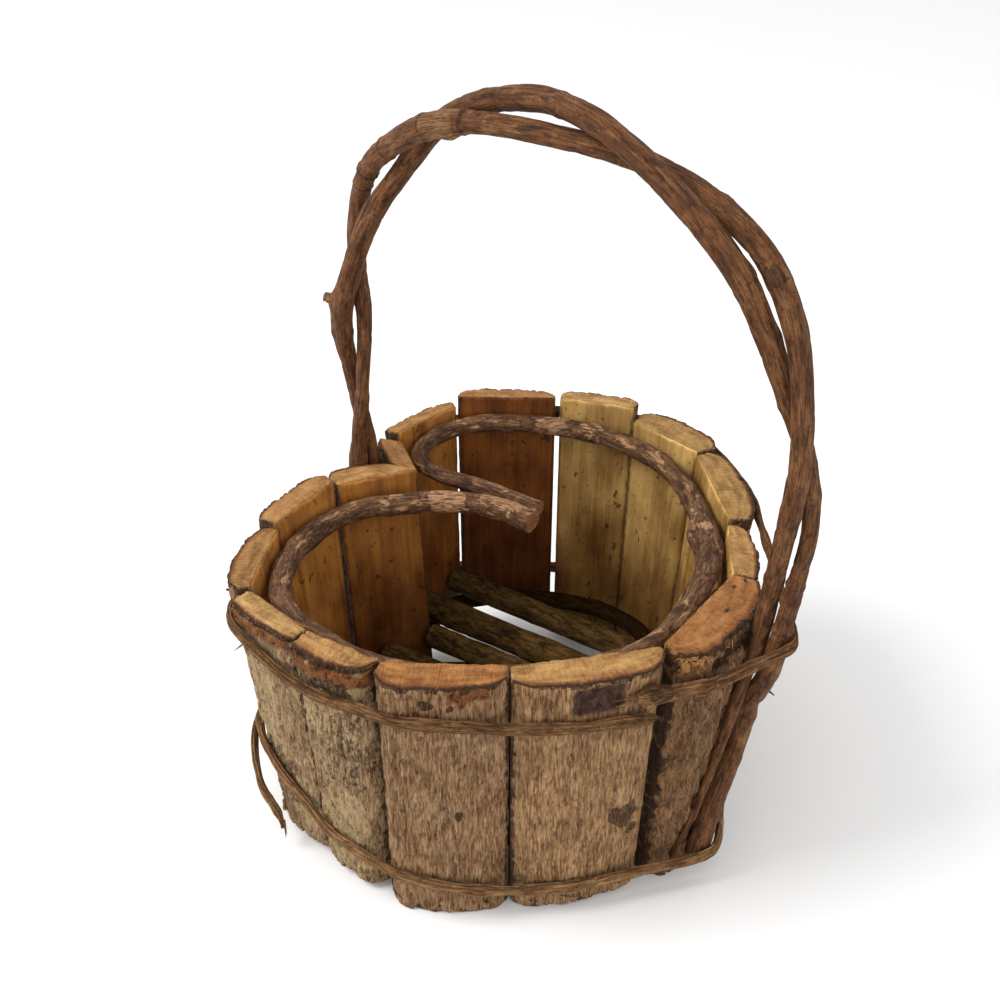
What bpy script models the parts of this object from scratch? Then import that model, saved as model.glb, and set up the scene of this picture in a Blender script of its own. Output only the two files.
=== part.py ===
"""Foraging basket of bark slabs, heart shaped in plan, with a handle of two twisted vines.

Metres, +Z up. +X runs from the cleft of the heart to its tip, where the handle stands, and the
origin lies under the middle of the whole basket on the surface that it stands on. Fifteen split
slabs stand round a bent rim twig and a bent foot twig, round twigs lie side by side as the floor,
and two split vines bind the slabs from outside, over the feet of the handle.
"""
import math

import bmesh
import bpy
from mathutils import Vector

# Plan inside the slabs, at the rim
INNER_LENGTH = 0.150
INNER_WIDTH = 0.176

# Slabs
RIM_HEIGHT = 0.1135
SLAB_THICKNESS = 0.014
SLAB_GAP = 0.0006
FLARE = 0.0100
FOOT_RISE = 0.0120
CUT_FALL = 0.0022

# Bent twigs along the inside, one under the rim and one under the floor
RIM_TWIG_RADIUS = 0.0042
RIM_TWIG_DROP = 0.0078
FOOT_TWIG_RADIUS = 0.0038

# Floor of round twigs
FLOOR_TWIG_RADIUS = 0.0055
FLOOR_HEIGHT = 0.0320
FLOOR_SKEW = math.radians(4.0)

# Handle of two vines
HANDLE_TOP = 0.2674
HANDLE_HALF_SPAN = 0.098
VINE_RADIUS = 0.0039

# Split vines bound round the outside
HOOP_THICKNESS = 0.0030
HOOP_WIDTH = 0.0054

# Room left between pieces that touch
CLEARANCE = 0.0003

# Corners between the slabs, from the cleft anticlockwise, as shares of the inner length and width
PLAN_SHARES = [
    (-0.421, 0.031), (-0.533, -0.131), (-0.530, -0.315), (-0.413, -0.492), (-0.210, -0.519),
    (-0.020, -0.500), (0.217, -0.369), (0.457, -0.162), (0.453, 0.111), (0.340, 0.267),
    (0.133, 0.438), (-0.093, 0.480), (-0.293, 0.418), (-0.513, 0.276), (-0.547, 0.102),
]
# How far each corner stands in at the foot, as a share of the flare
FLARE_SHARES = [
    0.50, 0.60, 0.90, 1.20, 1.00, 0.50, 0.40, 0.90, 1.10, 0.95, 0.80, 0.50, 0.35, 0.15, 0.25,
]
# Width of the seam at each corner, as a share of the slab gap
SEAM_SHARES = [1.0, 3.4, 1.0, 1.0, 1.0, 1.6, 1.6, 2.2, 1.0, 1.0, 1.0, 1.0, 4.6, 3.0, 1.0]

# One row for each slab, as shares: thickness of the slab thickness, the two edges of that
# thickness, height of the rim height, rise of the foot rise, fall of the sawn end of the cut
# fall, and place of the thickest line across the slab
SLAB_SHARES = [
    (0.86, 0.70, 0.64, 1.005, 0.15, 0.4, 0.58),
    (0.80, 0.54, 0.76, 1.025, 0.00, -0.5, 0.50),
    (0.80, 0.42, 0.48, 1.000, 0.20, 0.6, 0.55),
    (0.74, 0.60, 0.74, 0.990, 0.25, 0.5, 0.45),
    (0.78, 0.76, 0.16, 0.985, 0.25, -0.3, 0.46),
    (1.00, 0.46, 0.47, 0.980, 0.00, 0.3, 0.45),
    (1.00, 0.55, 0.12, 0.985, 0.10, 0.8, 0.46),
    (1.24, 0.42, 0.52, 1.000, 0.00, -0.4, 0.50),
    (0.72, 0.88, 0.24, 0.990, 0.25, -0.7, 0.44),
    (1.00, 0.62, 0.42, 1.010, 0.10, 0.5, 0.50),
    (1.05, 0.62, 0.48, 1.020, 0.00, -0.6, 0.48),
    (0.62, 0.56, 0.54, 1.065, 0.15, -0.4, 0.50),
    (0.56, 0.36, 0.20, 1.068, 1.54, 0.5, 0.50),
    (0.54, 0.50, 0.78, 1.035, 1.25, 0.1, 0.52),
    (0.70, 0.84, 0.90, 1.000, 0.30, -0.5, 0.46),
]
SLAB_COUNT = len(SLAB_SHARES)
BARK_STEPS = 11
SLAB_LEVELS = 5
# Bark of a slab: how square its arch is, waves across it, and their depth as a share
BARK_ARCH_POWER = 2.4
BARK_EDGE_POWER = 0.62
BARK_WAVES = 2.5
BARK_WAVE_PHASE = 0.37
BARK_WAVE_SHARE = 0.035
# How much of the wedge between two slabs their bark fills, as a share
MITRE_SHARE = 0.9

# Radius of the rim twig at each corner, as a share of its radius: a knot swells beside the tip
RIM_TWIG_SHARES = [
    1.0, 1.0, 0.98, 1.05, 0.96, 1.0, 0.98, 1.02, 1.36, 1.22, 0.98, 0.96, 0.94, 0.90, 0.86,
]
# The same for the foot twig
FOOT_TWIG_SHARES = [
    1.0, 1.0, 0.98, 1.0, 0.96, 1.0, 0.98, 1.0, 0.98, 1.0, 0.96, 1.0, 0.98, 0.94, 0.90,
]
# How far below the rim the rim twig runs at each corner, as a share of its drop
RIM_TWIG_DROP_SHARES = [
    1.0, 1.0, 1.0, 1.05, 1.25, 1.65, 1.75, 1.45, 1.05, 1.0, 0.95, 0.75, 0.35, 0.20, 0.45,
]
# Ends of a bent twig inside the cleft: plan shares from the cleft's corner, share of its radius
FRONT_END_SHARES = [(0.336, 0.039, 1.04), (0.186, 0.044, 1.02), (0.026, -0.066, 1.00)]
REAR_END_SHARES = [(-0.019, 0.055, 0.78), (0.146, 0.087, 0.74), (0.316, 0.090, 0.70)]

# Floor twigs: place across the basket as a share of the inner width, thickness and skew shares
FLOOR_SHARES = [
    (0.261, 0.99, 0.80), (0.144, 1.16, 0.85), (0.056, 0.99, 1.00), (-0.055, 1.02, 1.00),
    (-0.170, 0.96, 0.80), (-0.285, 1.00, 0.90), (-0.394, 0.94, 0.60),
]

# Arch of the handle: shares of the half span and of the rise over the rim, turns of the twist,
# radius shares of the inner and the outer vine, and share of a vine's radius between them
ARCH_SHARES = [
    (-0.880, 0.110, -0.15, 0.80, 0.86, 0.00),
    (-0.885, 0.250, -0.03, 0.72, 0.84, 0.25),
    (-0.890, 0.390, 0.12, 0.76, 1.10, 0.20),
    (-0.862, 0.550, 0.34, 0.86, 1.02, 0.08),
    (-0.790, 0.695, 0.45, 0.94, 1.02, 0.20),
    (-0.685, 0.800, 0.56, 0.98, 1.00, 0.35),
    (-0.490, 0.918, 0.73, 1.16, 1.00, 0.14),
    (-0.310, 0.972, 0.81, 0.98, 1.04, 0.20),
    (-0.060, 1.000, 0.90, 0.95, 1.06, 0.45),
    (0.170, 0.990, 1.05, 0.94, 1.06, 0.10),
    (0.337, 0.962, 1.16, 0.94, 1.04, 0.05),
    (0.524, 0.910, 1.26, 1.04, 1.08, 0.06),
    (0.729, 0.816, 1.37, 1.04, 1.10, 0.08),
    (0.855, 0.689, 1.46, 0.96, 1.00, 0.15),
    (0.930, 0.548, 1.59, 0.94, 0.90, 0.02),
    (0.984, 0.421, 1.73, 0.92, 0.84, 0.02),
    (0.998, 0.280, 1.88, 0.90, 0.76, 0.20),
    (0.975, 0.130, 1.98, 0.88, 0.80, 0.05),
]
# Legs of the handle, downwards: share of the rim height, then for the inner and the outer vine
# the place across the basket as a share of a vine's radius, and the radius share
TIP_LEG_SHARES = [
    (0.930, 0.50, 0.86, 0.35, 0.92),
    (0.790, 0.30, 0.62, 0.80, 0.98),
    (0.720, -0.20, 0.60, 1.00, 0.98),
    (0.650, -0.90, 0.58, 1.10, 1.00),
    (0.500, -1.90, 0.48, 0.95, 1.00),
    (0.390, -2.90, 0.40, -0.30, 1.04),
    (0.290, -4.10, 0.34, -1.85, 1.08),
    (0.200, -5.00, 0.30, -3.00, 1.12),
    (0.095, -5.80, 0.26, -3.90, 1.14),
]
CLEFT_LEG_SHARES = [
    (0.960, -0.92, 0.90, 0.98, 0.84),
    (0.780, -0.92, 0.90, 0.94, 0.82),
    (0.560, -0.92, 0.90, 0.94, 0.80),
    (0.330, -0.90, 0.88, 0.92, 0.80),
    (0.090, -0.88, 0.86, 0.90, 0.78),
]

# Height of each hoop along its turn, as a share of the rim height; turns start at the tip
UPPER_HOOP_SHARES = [
    (-0.100, 0.916), (-0.050, 0.893), (0.004, 0.960), (0.160, 0.962), (0.340, 0.966),
    (0.440, 0.930), (0.540, 0.850), (0.620, 0.835), (0.664, 0.900), (0.700, 0.850),
    (0.785, 0.860), (0.830, 0.832), (0.900, 0.828), (0.938, 0.808),
]
LOWER_HOOP_SHARES = [
    (-0.364, 0.420), (-0.342, 0.390), (-0.318, 0.290), (-0.290, 0.212), (-0.245, 0.176),
    (-0.165, 0.116), (-0.110, 0.122), (-0.030, 0.132), (0.010, 0.160), (0.120, 0.230),
    (0.335, 0.260), (0.440, 0.270), (0.560, 0.290), (0.596, 0.315),
]
# Loose end of the lower hoop: turn, height share, and how many hoop thicknesses it stands off
LOOSE_END_SHARES = [
    (0.606, 0.318, 0.6), (0.616, 0.295, 1.3), (0.626, 0.245, 1.5), (0.638, 0.200, 1.2),
    (0.654, 0.182, 1.0), (0.667, 0.165, 0.9), (0.672, 0.125, 0.8), (0.676, 0.080, 0.8),
]

# Slight waist and swell along a floor twig: waves, their shift from twig to twig, depth share
FLOOR_WAVES = 2.3
FLOOR_WAVE_PHASE = 0.4
FLOOR_WAVE_SHARE = 0.06
FLOOR_STEPS = 6

# Room between two wound vines, as a share of their touching distance, because they cross aslant
WOUND_SHARE = 1.04
# Size of a hoop's torn ends, as a share of its section
HOOP_END_SHARE = 0.6

TWIG_SIDES = 8
VINE_SIDES = 9
HOOP_SIDES = 7
CURVE_STEPS = 4
VINE_STEPS = 3
ARC_STEP = math.radians(20.0)
SHARP_ANGLE = math.radians(50.0)
SEAT_STEPS = 6
CIRCLE_STEPS = 16
HOOP_STEP_SHARE = 1.7

# Finish of each kind of piece: colour, roughness
SPLIT_WOOD = ((0.36, 0.22, 0.10), 0.75)
FLOOR_WOOD = ((0.17, 0.14, 0.07), 0.80)
TWIG_BARK = ((0.24, 0.17, 0.12), 0.70)
VINE_BARK = ((0.19, 0.10, 0.06), 0.60)
SPLIT_VINE = ((0.22, 0.16, 0.10), 0.70)


def blend(a, b, share):
    """Value a share of the way from one number to another."""
    return a + (b - a) * share


def table_value(table, place):
    """Smooth reading of a table of rows (place, value) at a place between its ends."""
    rows = sorted(table)
    if place <= rows[0][0]:
        return rows[0][1]
    for (start, low), (end, high) in zip(rows, rows[1:]):
        if place <= end:
            share = (place - start) / (end - start)
            return blend(low, high, share * share * (3 - 2 * share))
    return rows[-1][1]


def through_curve(rows, steps):
    """Rows along a smooth curve that passes through every given row of numbers."""
    ends = [rows[0]] + list(rows) + [rows[-1]]
    result = []
    for before, start, end, after in zip(ends, ends[1:], ends[2:], ends[3:]):
        for step in range(steps):
            t = step / steps
            result.append(tuple(
                0.5 * (2 * b + (c - a) * t + (2 * a - 5 * b + 4 * c - d) * t * t
                       + (3 * b - a - 3 * c + d) * t ** 3)
                for a, b, c, d in zip(before, start, end, after)))
    result.append(tuple(rows[-1]))
    return result


def bent_curve(rows, steps):
    """Rows along a bent twig that touches the middle of each leg of its control rows."""
    def middle(a, b):
        return tuple((p + q) / 2 for p, q in zip(a, b))

    starts = [rows[0]] + [middle(a, b) for a, b in zip(rows[1:], rows[2:-1])]
    ends = starts[1:] + [rows[-1]]
    result = []
    for start, control, end in zip(starts, rows[1:], ends):
        for step in range(steps):
            t = step / steps
            result.append(tuple((1 - t) ** 2 * p + 2 * t * (1 - t) * q + t * t * r
                                for p, q, r in zip(start, control, end)))
    result.append(tuple(rows[-1]))
    return result


def finish_material(name, finish):
    """Principled material with a colour and a roughness."""
    colour, roughness = finish
    material = bpy.data.materials.new(name)
    material.use_nodes = True
    shader = material.node_tree.nodes["Principled BSDF"]
    shader.inputs["Base Color"].default_value = (*colour, 1.0)
    shader.inputs["Roughness"].default_value = roughness
    shader.inputs["Metallic"].default_value = 0.0
    material.diffuse_color = (*colour, 1.0)
    return material


def loft(name, rings, finish):
    """Solid skinned over rings of points and capped at both ends."""
    shape = bmesh.new()
    loops = [[shape.verts.new(point) for point in ring] for ring in rings]
    for lower, upper in zip(loops, loops[1:]):
        for index, vertex in enumerate(lower):
            beside = (index + 1) % len(lower)
            shape.faces.new((vertex, lower[beside], upper[beside], upper[index]))
    shape.faces.new(list(reversed(loops[0])))
    shape.faces.new(loops[-1])
    bmesh.ops.recalc_face_normals(shape, faces=shape.faces)
    mesh = bpy.data.meshes.new(name)
    shape.to_mesh(mesh)
    shape.free()
    mesh.shade_smooth()
    mesh.set_sharp_from_angle(angle=SHARP_ANGLE)
    piece = bpy.data.objects.new(name, mesh)
    piece.data.materials.append(finish_material(name, finish))
    bpy.context.collection.objects.link(piece)
    return piece


def tube_rings(centres, halves, sides):
    """Rings of a tube whose half sizes are given across and along the upward direction."""
    points = [Vector(centre) for centre in centres]
    tangents = [(after - before).normalized()
                for before, after in zip(points[:1] + points, points[1:] + points[-1:])]
    up = Vector((0, 0, 1))
    if abs(tangents[0].z) > math.sin(math.pi / 4):
        up = Vector((1, 0, 0))
    rings = []
    for point, tangent, (across, along) in zip(points, tangents, halves):
        up = (up - tangent * up.dot(tangent)).normalized()
        side = tangent.cross(up)
        rings.append([
            point + side * (across * math.cos(angle)) + up * (along * math.sin(angle))
            for angle in (math.tau * index / sides for index in range(sides))])
    return rings


def chord_direction(index):
    """Direction along a slab's inner face at the rim."""
    start = rim_corner(index)
    end = rim_corner(index + 1)
    return (end - start).normalized()


def rim_corner(index):
    """Inner corner between two slabs at the rim."""
    x_share, y_share = PLAN_SHARES[index % SLAB_COUNT]
    return Vector((x_share * INNER_LENGTH, y_share * INNER_WIDTH))


def outward(along):
    """Direction out of the basket, square to a direction along its wall."""
    return Vector((along.y, -along.x))


def corner_outward(index):
    """Direction out of the basket at the corner where a slab starts."""
    return (outward(chord_direction(index - 1)) + outward(chord_direction(index))).normalized()


def corner(index, height):
    """Inner corner between two slabs at a height, as they lean out from foot to rim."""
    place = index % SLAB_COUNT
    inset = FLARE * FLARE_SHARES[place] * (1 - height / RIM_HEIGHT)
    return rim_corner(place) - corner_outward(place) * inset


def half_turn(index):
    """Half the angle by which the wall turns at a corner, below zero in the cleft."""
    before = chord_direction(index - 1)
    after = chord_direction(index)
    return math.atan2(before.cross(after), before.dot(after)) / 2


def wall_offset(index, height, distance):
    """Point a distance inside both slabs that meet at a corner."""
    return corner(index, height) - corner_outward(index) * (distance / math.cos(half_turn(index)))


def bark_depth(index, across):
    """Thickness of a slab at a share of its width."""
    thickness, start_edge, end_edge, _, _, _, peak = SLAB_SHARES[index]
    skewed = across ** (math.log(0.5) / math.log(peak)) if across > 0 else 0.0
    arch = (1 - abs(2 * skewed - 1) ** BARK_ARCH_POWER) ** BARK_EDGE_POWER
    edge = blend(start_edge, end_edge, across)
    wave = math.sin(math.tau * (BARK_WAVES * across + BARK_WAVE_PHASE * index))
    return SLAB_THICKNESS * thickness * (edge + (1 - edge) * arch * (1 + BARK_WAVE_SHARE * wave))


def held_back(point, index, height, side):
    """Point moved off the plane that parts two slabs, where the wall turns inwards."""
    middle = corner(index, height)
    out = corner_outward(index)
    along = Vector((-out.y, out.x)) * side
    seam = SLAB_GAP * SEAM_SHARES[index % SLAB_COUNT] / 2
    short = seam - (point - middle).dot(along)
    return point + along * short if short > 0 else point


def slab_points(index, height):
    """Outline of a slab in plan at a height: inner face, then the bark from its end to its start."""
    start = corner(index, height)
    end = corner(index + 1, height)
    along = (end - start).normalized()
    out = outward(along)
    start = start + along * (SLAB_GAP * SEAM_SHARES[index] / 2)
    end = end - along * (SLAB_GAP * SEAM_SHARES[(index + 1) % SLAB_COUNT] / 2)
    points = [start, end]
    for step in range(BARK_STEPS, -1, -1):
        across = step / BARK_STEPS
        depth = bark_depth(index, across)
        spread = blend(-math.tan(half_turn(index)), math.tan(half_turn(index + 1)), across)
        shift = along * (MITRE_SHARE * spread * depth)
        points.append(start.lerp(end, across) + out * depth + shift)
    points = [held_back(point, index, height, 1) for point in points]
    return [held_back(point, index + 1, height, -1) for point in points]


def slab_share_across(place):
    """Share of a slab's width at which a point of its outline lies."""
    if place < 2:
        return float(place)
    return 1 - (place - 2) / BARK_STEPS


def build_slab(index):
    """One split slab: flat inside, bark outside, sawn a little out of level."""
    _, _, _, height_share, rise_share, fall_share, _ = SLAB_SHARES[index]
    top = RIM_HEIGHT * height_share
    foot = FOOT_RISE * rise_share
    count = BARK_STEPS + 3
    rings = []
    for level in range(SLAB_LEVELS + 1):
        ring = []
        for place in range(count):
            across = slab_share_across(place) - 0.5
            point_top = top + CUT_FALL * fall_share * across
            point_foot = foot * (1 + fall_share * across)
            height = blend(point_foot, point_top, level / SLAB_LEVELS)
            point = slab_points(index, height)[place]
            ring.append((point.x, point.y, height))
        rings.append(ring)
    return loft(f"slab_{index + 1:02d}", rings, SPLIT_WOOD)


def bent_twig_rows(height, drop, radius, swell_shares):
    """Control rows of a bent twig, from its front end in the cleft round to its rear end."""
    rows = []
    for index in range(1, SLAB_COUNT):
        level = height - drop * RIM_TWIG_DROP_SHARES[index]
        thickness = radius * swell_shares[index]
        point = wall_offset(index, level, thickness + CLEARANCE)
        rows.append((point.x, point.y, level, thickness))
    cleft = corner(0, height)
    ends = []
    for table in (FRONT_END_SHARES, REAR_END_SHARES):
        ends.append([(cleft.x + x_share * INNER_LENGTH, cleft.y + y_share * INNER_WIDTH,
                      height - drop, radius_share * radius)
                     for x_share, y_share, radius_share in table])
    return ends[0] + rows + ends[1]


def build_bent_twig(name, height, drop, radius, swell_shares):
    """Twig bent into a heart along the inside of the slabs, its ends turned in at the cleft."""
    curve = bent_curve(bent_twig_rows(height, drop, radius, swell_shares), CURVE_STEPS)
    rings = tube_rings([row[:3] for row in curve], [(row[3], row[3]) for row in curve],
                       TWIG_SIDES)
    return loft(name, rings, TWIG_BARK)


def foot_twig_height():
    """Height of the foot twig, which the thickest floor twig just clears."""
    thickest = FLOOR_TWIG_RADIUS * max(row[1] for row in FLOOR_SHARES)
    return FLOOR_HEIGHT - thickest - FOOT_TWIG_RADIUS - CLEARANCE


def ring_limit(start, direction, ring, distance):
    """How far a line runs from a start inside a closed ring before it comes within a distance."""
    normal = Vector((-direction.y, direction.x))
    reach = math.inf
    for before, after in zip(ring, ring[1:] + ring[:1]):
        along = (after - before).normalized()
        inside = outward(along) * -distance
        a = before + inside - start
        b = after + inside - start
        side_a = a.dot(normal)
        side_b = b.dot(normal)
        if side_a * side_b > 0 or side_a == side_b:
            continue
        hit = blend(a.dot(direction), b.dot(direction), side_a / (side_a - side_b))
        if hit > 0:
            reach = min(reach, hit)
    return reach


def strip_reach(start, direction, ring, half_width):
    """How far a strip of wood runs from a start inside a closed ring before it meets the ring."""
    across = Vector((-direction.y, direction.x))
    sides = [ring_limit(start + across * (half_width * side), direction, ring, CLEARANCE)
             for side in (-1, 0, 1)]
    inside = [(point - start).dot(direction) - CLEARANCE for point in ring
              if abs((point - start).dot(across)) <= half_width + CLEARANCE
              and (point - start).dot(direction) > 0]
    return min(sides + inside)


def build_floor_twig(number, place_share, thickness_share, skew_share):
    """Round twig of the floor, cut to lie between the slabs."""
    radius = FLOOR_TWIG_RADIUS * thickness_share
    ring = [corner(index, FLOOR_HEIGHT - radius) for index in range(SLAB_COUNT)]
    direction = Vector((math.cos(FLOOR_SKEW * skew_share), math.sin(FLOOR_SKEW * skew_share)))
    middle = Vector((0, place_share * INNER_WIDTH))
    reach = strip_reach(middle, direction, ring, radius)
    reach_back = strip_reach(middle, -direction, ring, radius)
    centres = []
    halves = []
    for step in range(FLOOR_STEPS + 1):
        share = step / FLOOR_STEPS
        point = middle + direction * blend(-reach_back, reach, share)
        wave = math.sin(math.pi * (FLOOR_WAVES * share + FLOOR_WAVE_PHASE * number))
        swell = 1 - FLOOR_WAVE_SHARE * wave ** 2
        centres.append((point.x, point.y, FLOOR_HEIGHT))
        halves.append((radius * swell, radius * swell))
    rings = tube_rings(centres, halves, TWIG_SIDES)
    return loft(f"floor_twig_{number}", rings, FLOOR_WOOD)


def wall_outline(height):
    """Points along the bark of every slab at a height, close enough to seat a vine on."""
    points = []
    for index in range(SLAB_COUNT):
        bark = slab_points(index, height)[2:]
        for start, end in zip(bark, bark[1:]):
            points += [start.lerp(end, step / SEAT_STEPS) for step in range(SEAT_STEPS)]
        points.append(bark[-1])
    return points


def seat_x(y, height, radius, side):
    """Place along X where a round vine at a given Y just clears the bark."""
    room = radius + CLEARANCE
    best = -math.inf
    for point in wall_outline(height):
        if point.x * side < 0 or abs(point.y - y) >= room:
            continue
        best = max(best, point.x * side + math.sqrt(room ** 2 - (point.y - y) ** 2))
    return best * side


def leg_rows(table, side):
    """Centres and radii of both vines down a leg: (x, y, z, radius) for the inner and the outer."""
    inner_rows = []
    outer_rows = []
    for height_share, inner_y, inner_share, outer_y, outer_share in table:
        height = RIM_HEIGHT * height_share
        inner_radius = VINE_RADIUS * inner_share
        outer_radius = VINE_RADIUS * outer_share
        y_inner = inner_y * VINE_RADIUS
        y_outer = outer_y * VINE_RADIUS
        x_inner = seat_x(y_inner, height, inner_radius, side)
        x_outer = seat_x(y_outer, height, outer_radius, side)
        room = inner_radius + outer_radius + CLEARANCE
        apart = abs(y_inner - y_outer)
        if apart < room:
            beyond = x_inner * side + math.sqrt(room ** 2 - apart ** 2)
            x_outer = max(x_outer * side, beyond) * side
        inner_rows.append((x_inner, y_inner, height, inner_radius))
        outer_rows.append((x_outer, y_outer, height, outer_radius))
    return inner_rows, outer_rows


def arch_rows():
    """Centres and radii of both vines over the arch, wound round each other."""
    rise = HANDLE_TOP - RIM_HEIGHT
    path = [Vector((row[0] * HANDLE_HALF_SPAN, row[1] * rise)) for row in ARCH_SHARES]
    inner_rows = []
    outer_rows = []
    for index, row in enumerate(ARCH_SHARES):
        _, _, turns, inner_share, outer_share, open_share = row
        after = path[min(index + 1, len(path) - 1)]
        before = path[max(index - 1, 0)]
        along = (after - before).normalized()
        out_of_arch = Vector((-along.y, along.x))
        inner_radius = VINE_RADIUS * inner_share
        outer_radius = VINE_RADIUS * outer_share
        touching = (inner_radius + outer_radius + CLEARANCE) * WOUND_SHARE
        apart = touching + VINE_RADIUS * open_share
        lift = math.cos(math.tau * turns) * apart / 2
        sway = -math.sin(math.tau * turns) * apart / 2
        centre = path[index]
        for rows, sign, radius in ((inner_rows, -1, inner_radius), (outer_rows, 1, outer_radius)):
            point = centre + out_of_arch * (lift * sign)
            rows.append((point.x, sway * sign, RIM_HEIGHT + point.y, radius))
    return inner_rows, outer_rows


def handle_curves():
    """Full courses of both vines, from the foot in the cleft to the foot at the tip."""
    cleft_inner, cleft_outer = leg_rows(CLEFT_LEG_SHARES, -1)
    tip_inner, tip_outer = leg_rows(TIP_LEG_SHARES, 1)
    arch_inner, arch_outer = arch_rows()
    inner = cleft_inner[::-1] + arch_inner + tip_inner
    outer = cleft_outer[::-1] + arch_outer + tip_outer
    return through_curve(inner, VINE_STEPS), through_curve(outer, VINE_STEPS)


def legs_of(curve):
    """The two stretches of a vine up to a hoop's width over the rim."""
    top = max(range(len(curve)), key=lambda index: curve[index][2])
    reach = RIM_HEIGHT + HOOP_WIDTH
    return [[row for row in half if row[2] < reach] for half in (curve[:top], curve[top:])]


def build_vine(name, curve):
    """One vine of the handle along its rows of centre and radius."""
    rings = tube_rings([row[:3] for row in curve], [(row[3], row[3]) for row in curve],
                       VINE_SIDES)
    return loft(name, rings, VINE_BARK)


def hull(points):
    """Corners of the tightest outline round points in plan, anticlockwise."""
    ordered = sorted((point.x, point.y) for point in points)

    def half(run):
        chain = []
        for point in run:
            while len(chain) > 1:
                ax, ay = chain[-1][0] - chain[-2][0], chain[-1][1] - chain[-2][1]
                bx, by = point[0] - chain[-1][0], point[1] - chain[-1][1]
                if ax * by - ay * bx > 0:
                    break
                chain.pop()
            chain.append(point)
        return chain[:-1]

    return [Vector(point) for point in half(ordered) + half(ordered[::-1])]


def turn_of(point):
    """Share of a turn at which a plan point lies, from the tip anticlockwise."""
    return math.atan2(point.y, point.x) / math.tau


def hoop_heights(table):
    """Function from a plan point to the hoop's height there, the higher where it overlaps."""
    first, last = table[0][0], table[-1][0]

    def height(point):
        turn = turn_of(point)
        found = [table_value(table, turn + whole) for whole in (-1, 0, 1)
                 if first <= turn + whole <= last]
        return RIM_HEIGHT * max(found or [table[0][1]])

    return height


def hoop_course(table, legs):
    """Plan course of a hoop pulled tight round the slabs and the legs, with the turn of each point."""
    height = hoop_heights(table)
    points = []
    for index in range(SLAB_COUNT):
        for place in range(2, BARK_STEPS + 3):
            rough = slab_points(index, RIM_HEIGHT * table[0][1])[place]
            points.append(slab_points(index, height(rough))[place])
    for leg in legs:
        points += leg_circle(leg, height)
    corners = hull(points)
    room = HOOP_THICKNESS / 2 + CLEARANCE
    course = []
    for before, here, after in zip(corners[-1:] + corners, corners, corners[1:] + corners[:1]):
        leave = outward((here - before).normalized())
        enter = outward((after - here).normalized())
        start = math.atan2(leave.y, leave.x)
        sweep = (math.atan2(enter.y, enter.x) - start) % math.tau
        pieces = max(1, math.ceil(sweep / ARC_STEP))
        for step in range(pieces + 1):
            angle = start + sweep * step / pieces
            course.append(here + Vector((math.cos(angle), math.sin(angle))) * room)
    return even_out(course)


def leg_circle(leg, height):
    """Points round a leg of the handle over the width of the hoop that crosses it."""
    level = height(Vector(leg[0][:2]))
    points = []
    for quarter in (-2, -1, 0, 1, 2):
        x, y, _, radius = level_row(leg, level + quarter * HOOP_WIDTH / 4)
        points += [Vector((x + radius * math.cos(angle), y + radius * math.sin(angle)))
                   for angle in (math.tau * step / CIRCLE_STEPS for step in range(CIRCLE_STEPS))]
    return points


def level_row(leg, level):
    """Row of a leg at a height, read between its own rows."""
    ordered = sorted(leg, key=lambda row: row[2])
    for low, high in zip(ordered, ordered[1:]):
        if level <= high[2]:
            share = max(0.0, (level - low[2]) / (high[2] - low[2]))
            return tuple(blend(a, b, share) for a, b in zip(low, high))
    return ordered[-1]


def even_out(course):
    """Course without crowded points, and with more where it runs straight."""
    kept = [course[0]]
    for point in course[1:]:
        if (point - kept[-1]).length > HOOP_WIDTH / 2:
            kept.append(point)
    result = []
    for start, end in zip(kept, kept[1:] + kept[:1]):
        pieces = max(1, math.ceil((end - start).length / (HOOP_STEP_SHARE * HOOP_WIDTH)))
        result += [start.lerp(end, step / pieces) for step in range(pieces)]
    return result


def build_hoop(name, table, legs, loose_end=()):
    """Split vine bound once round the slabs, with its ends side by side or one end loose."""
    course = hoop_course(table, legs)
    first, last = table[0][0], table[-1][0]
    rows = []
    for whole in (-1, 0, 1):
        for point in course:
            turn = turn_of(point) + whole
            if first <= turn <= last:
                rows.append((turn, point.x, point.y, RIM_HEIGHT * table_value(table, turn)))
    rows.sort()
    centres = [row[1:] for row in rows]
    for turn, height_share, stand_off in loose_end:
        nearest = min(course, key=lambda point: abs((turn_of(point) - turn + 0.5) % 1 - 0.5))
        away = nearest.normalized() * (HOOP_THICKNESS * stand_off)
        centres.append((nearest.x + away.x, nearest.y + away.y, RIM_HEIGHT * height_share))
    halves = [(HOOP_THICKNESS / 2, HOOP_WIDTH / 2)] * len(centres)
    halves[0] = tuple(half * HOOP_END_SHARE for half in halves[0])
    halves[-1] = halves[0]
    return loft(name, tube_rings(centres, halves, HOOP_SIDES), SPLIT_VINE)


def centre_on_ground(pieces):
    """Hang every piece on an empty that brings the middle of the basket over the origin."""
    corners = [piece.matrix_world @ vertex.co for piece in pieces for vertex in piece.data.vertices]
    middle_x = (min(point.x for point in corners) + max(point.x for point in corners)) / 2
    middle_y = (min(point.y for point in corners) + max(point.y for point in corners)) / 2
    bottom = min(point.z for point in corners)
    base = bpy.data.objects.new("basket_base", None)
    bpy.context.collection.objects.link(base)
    base.location = (-middle_x, -middle_y, -bottom)
    for piece in pieces:
        piece.parent = base


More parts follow.
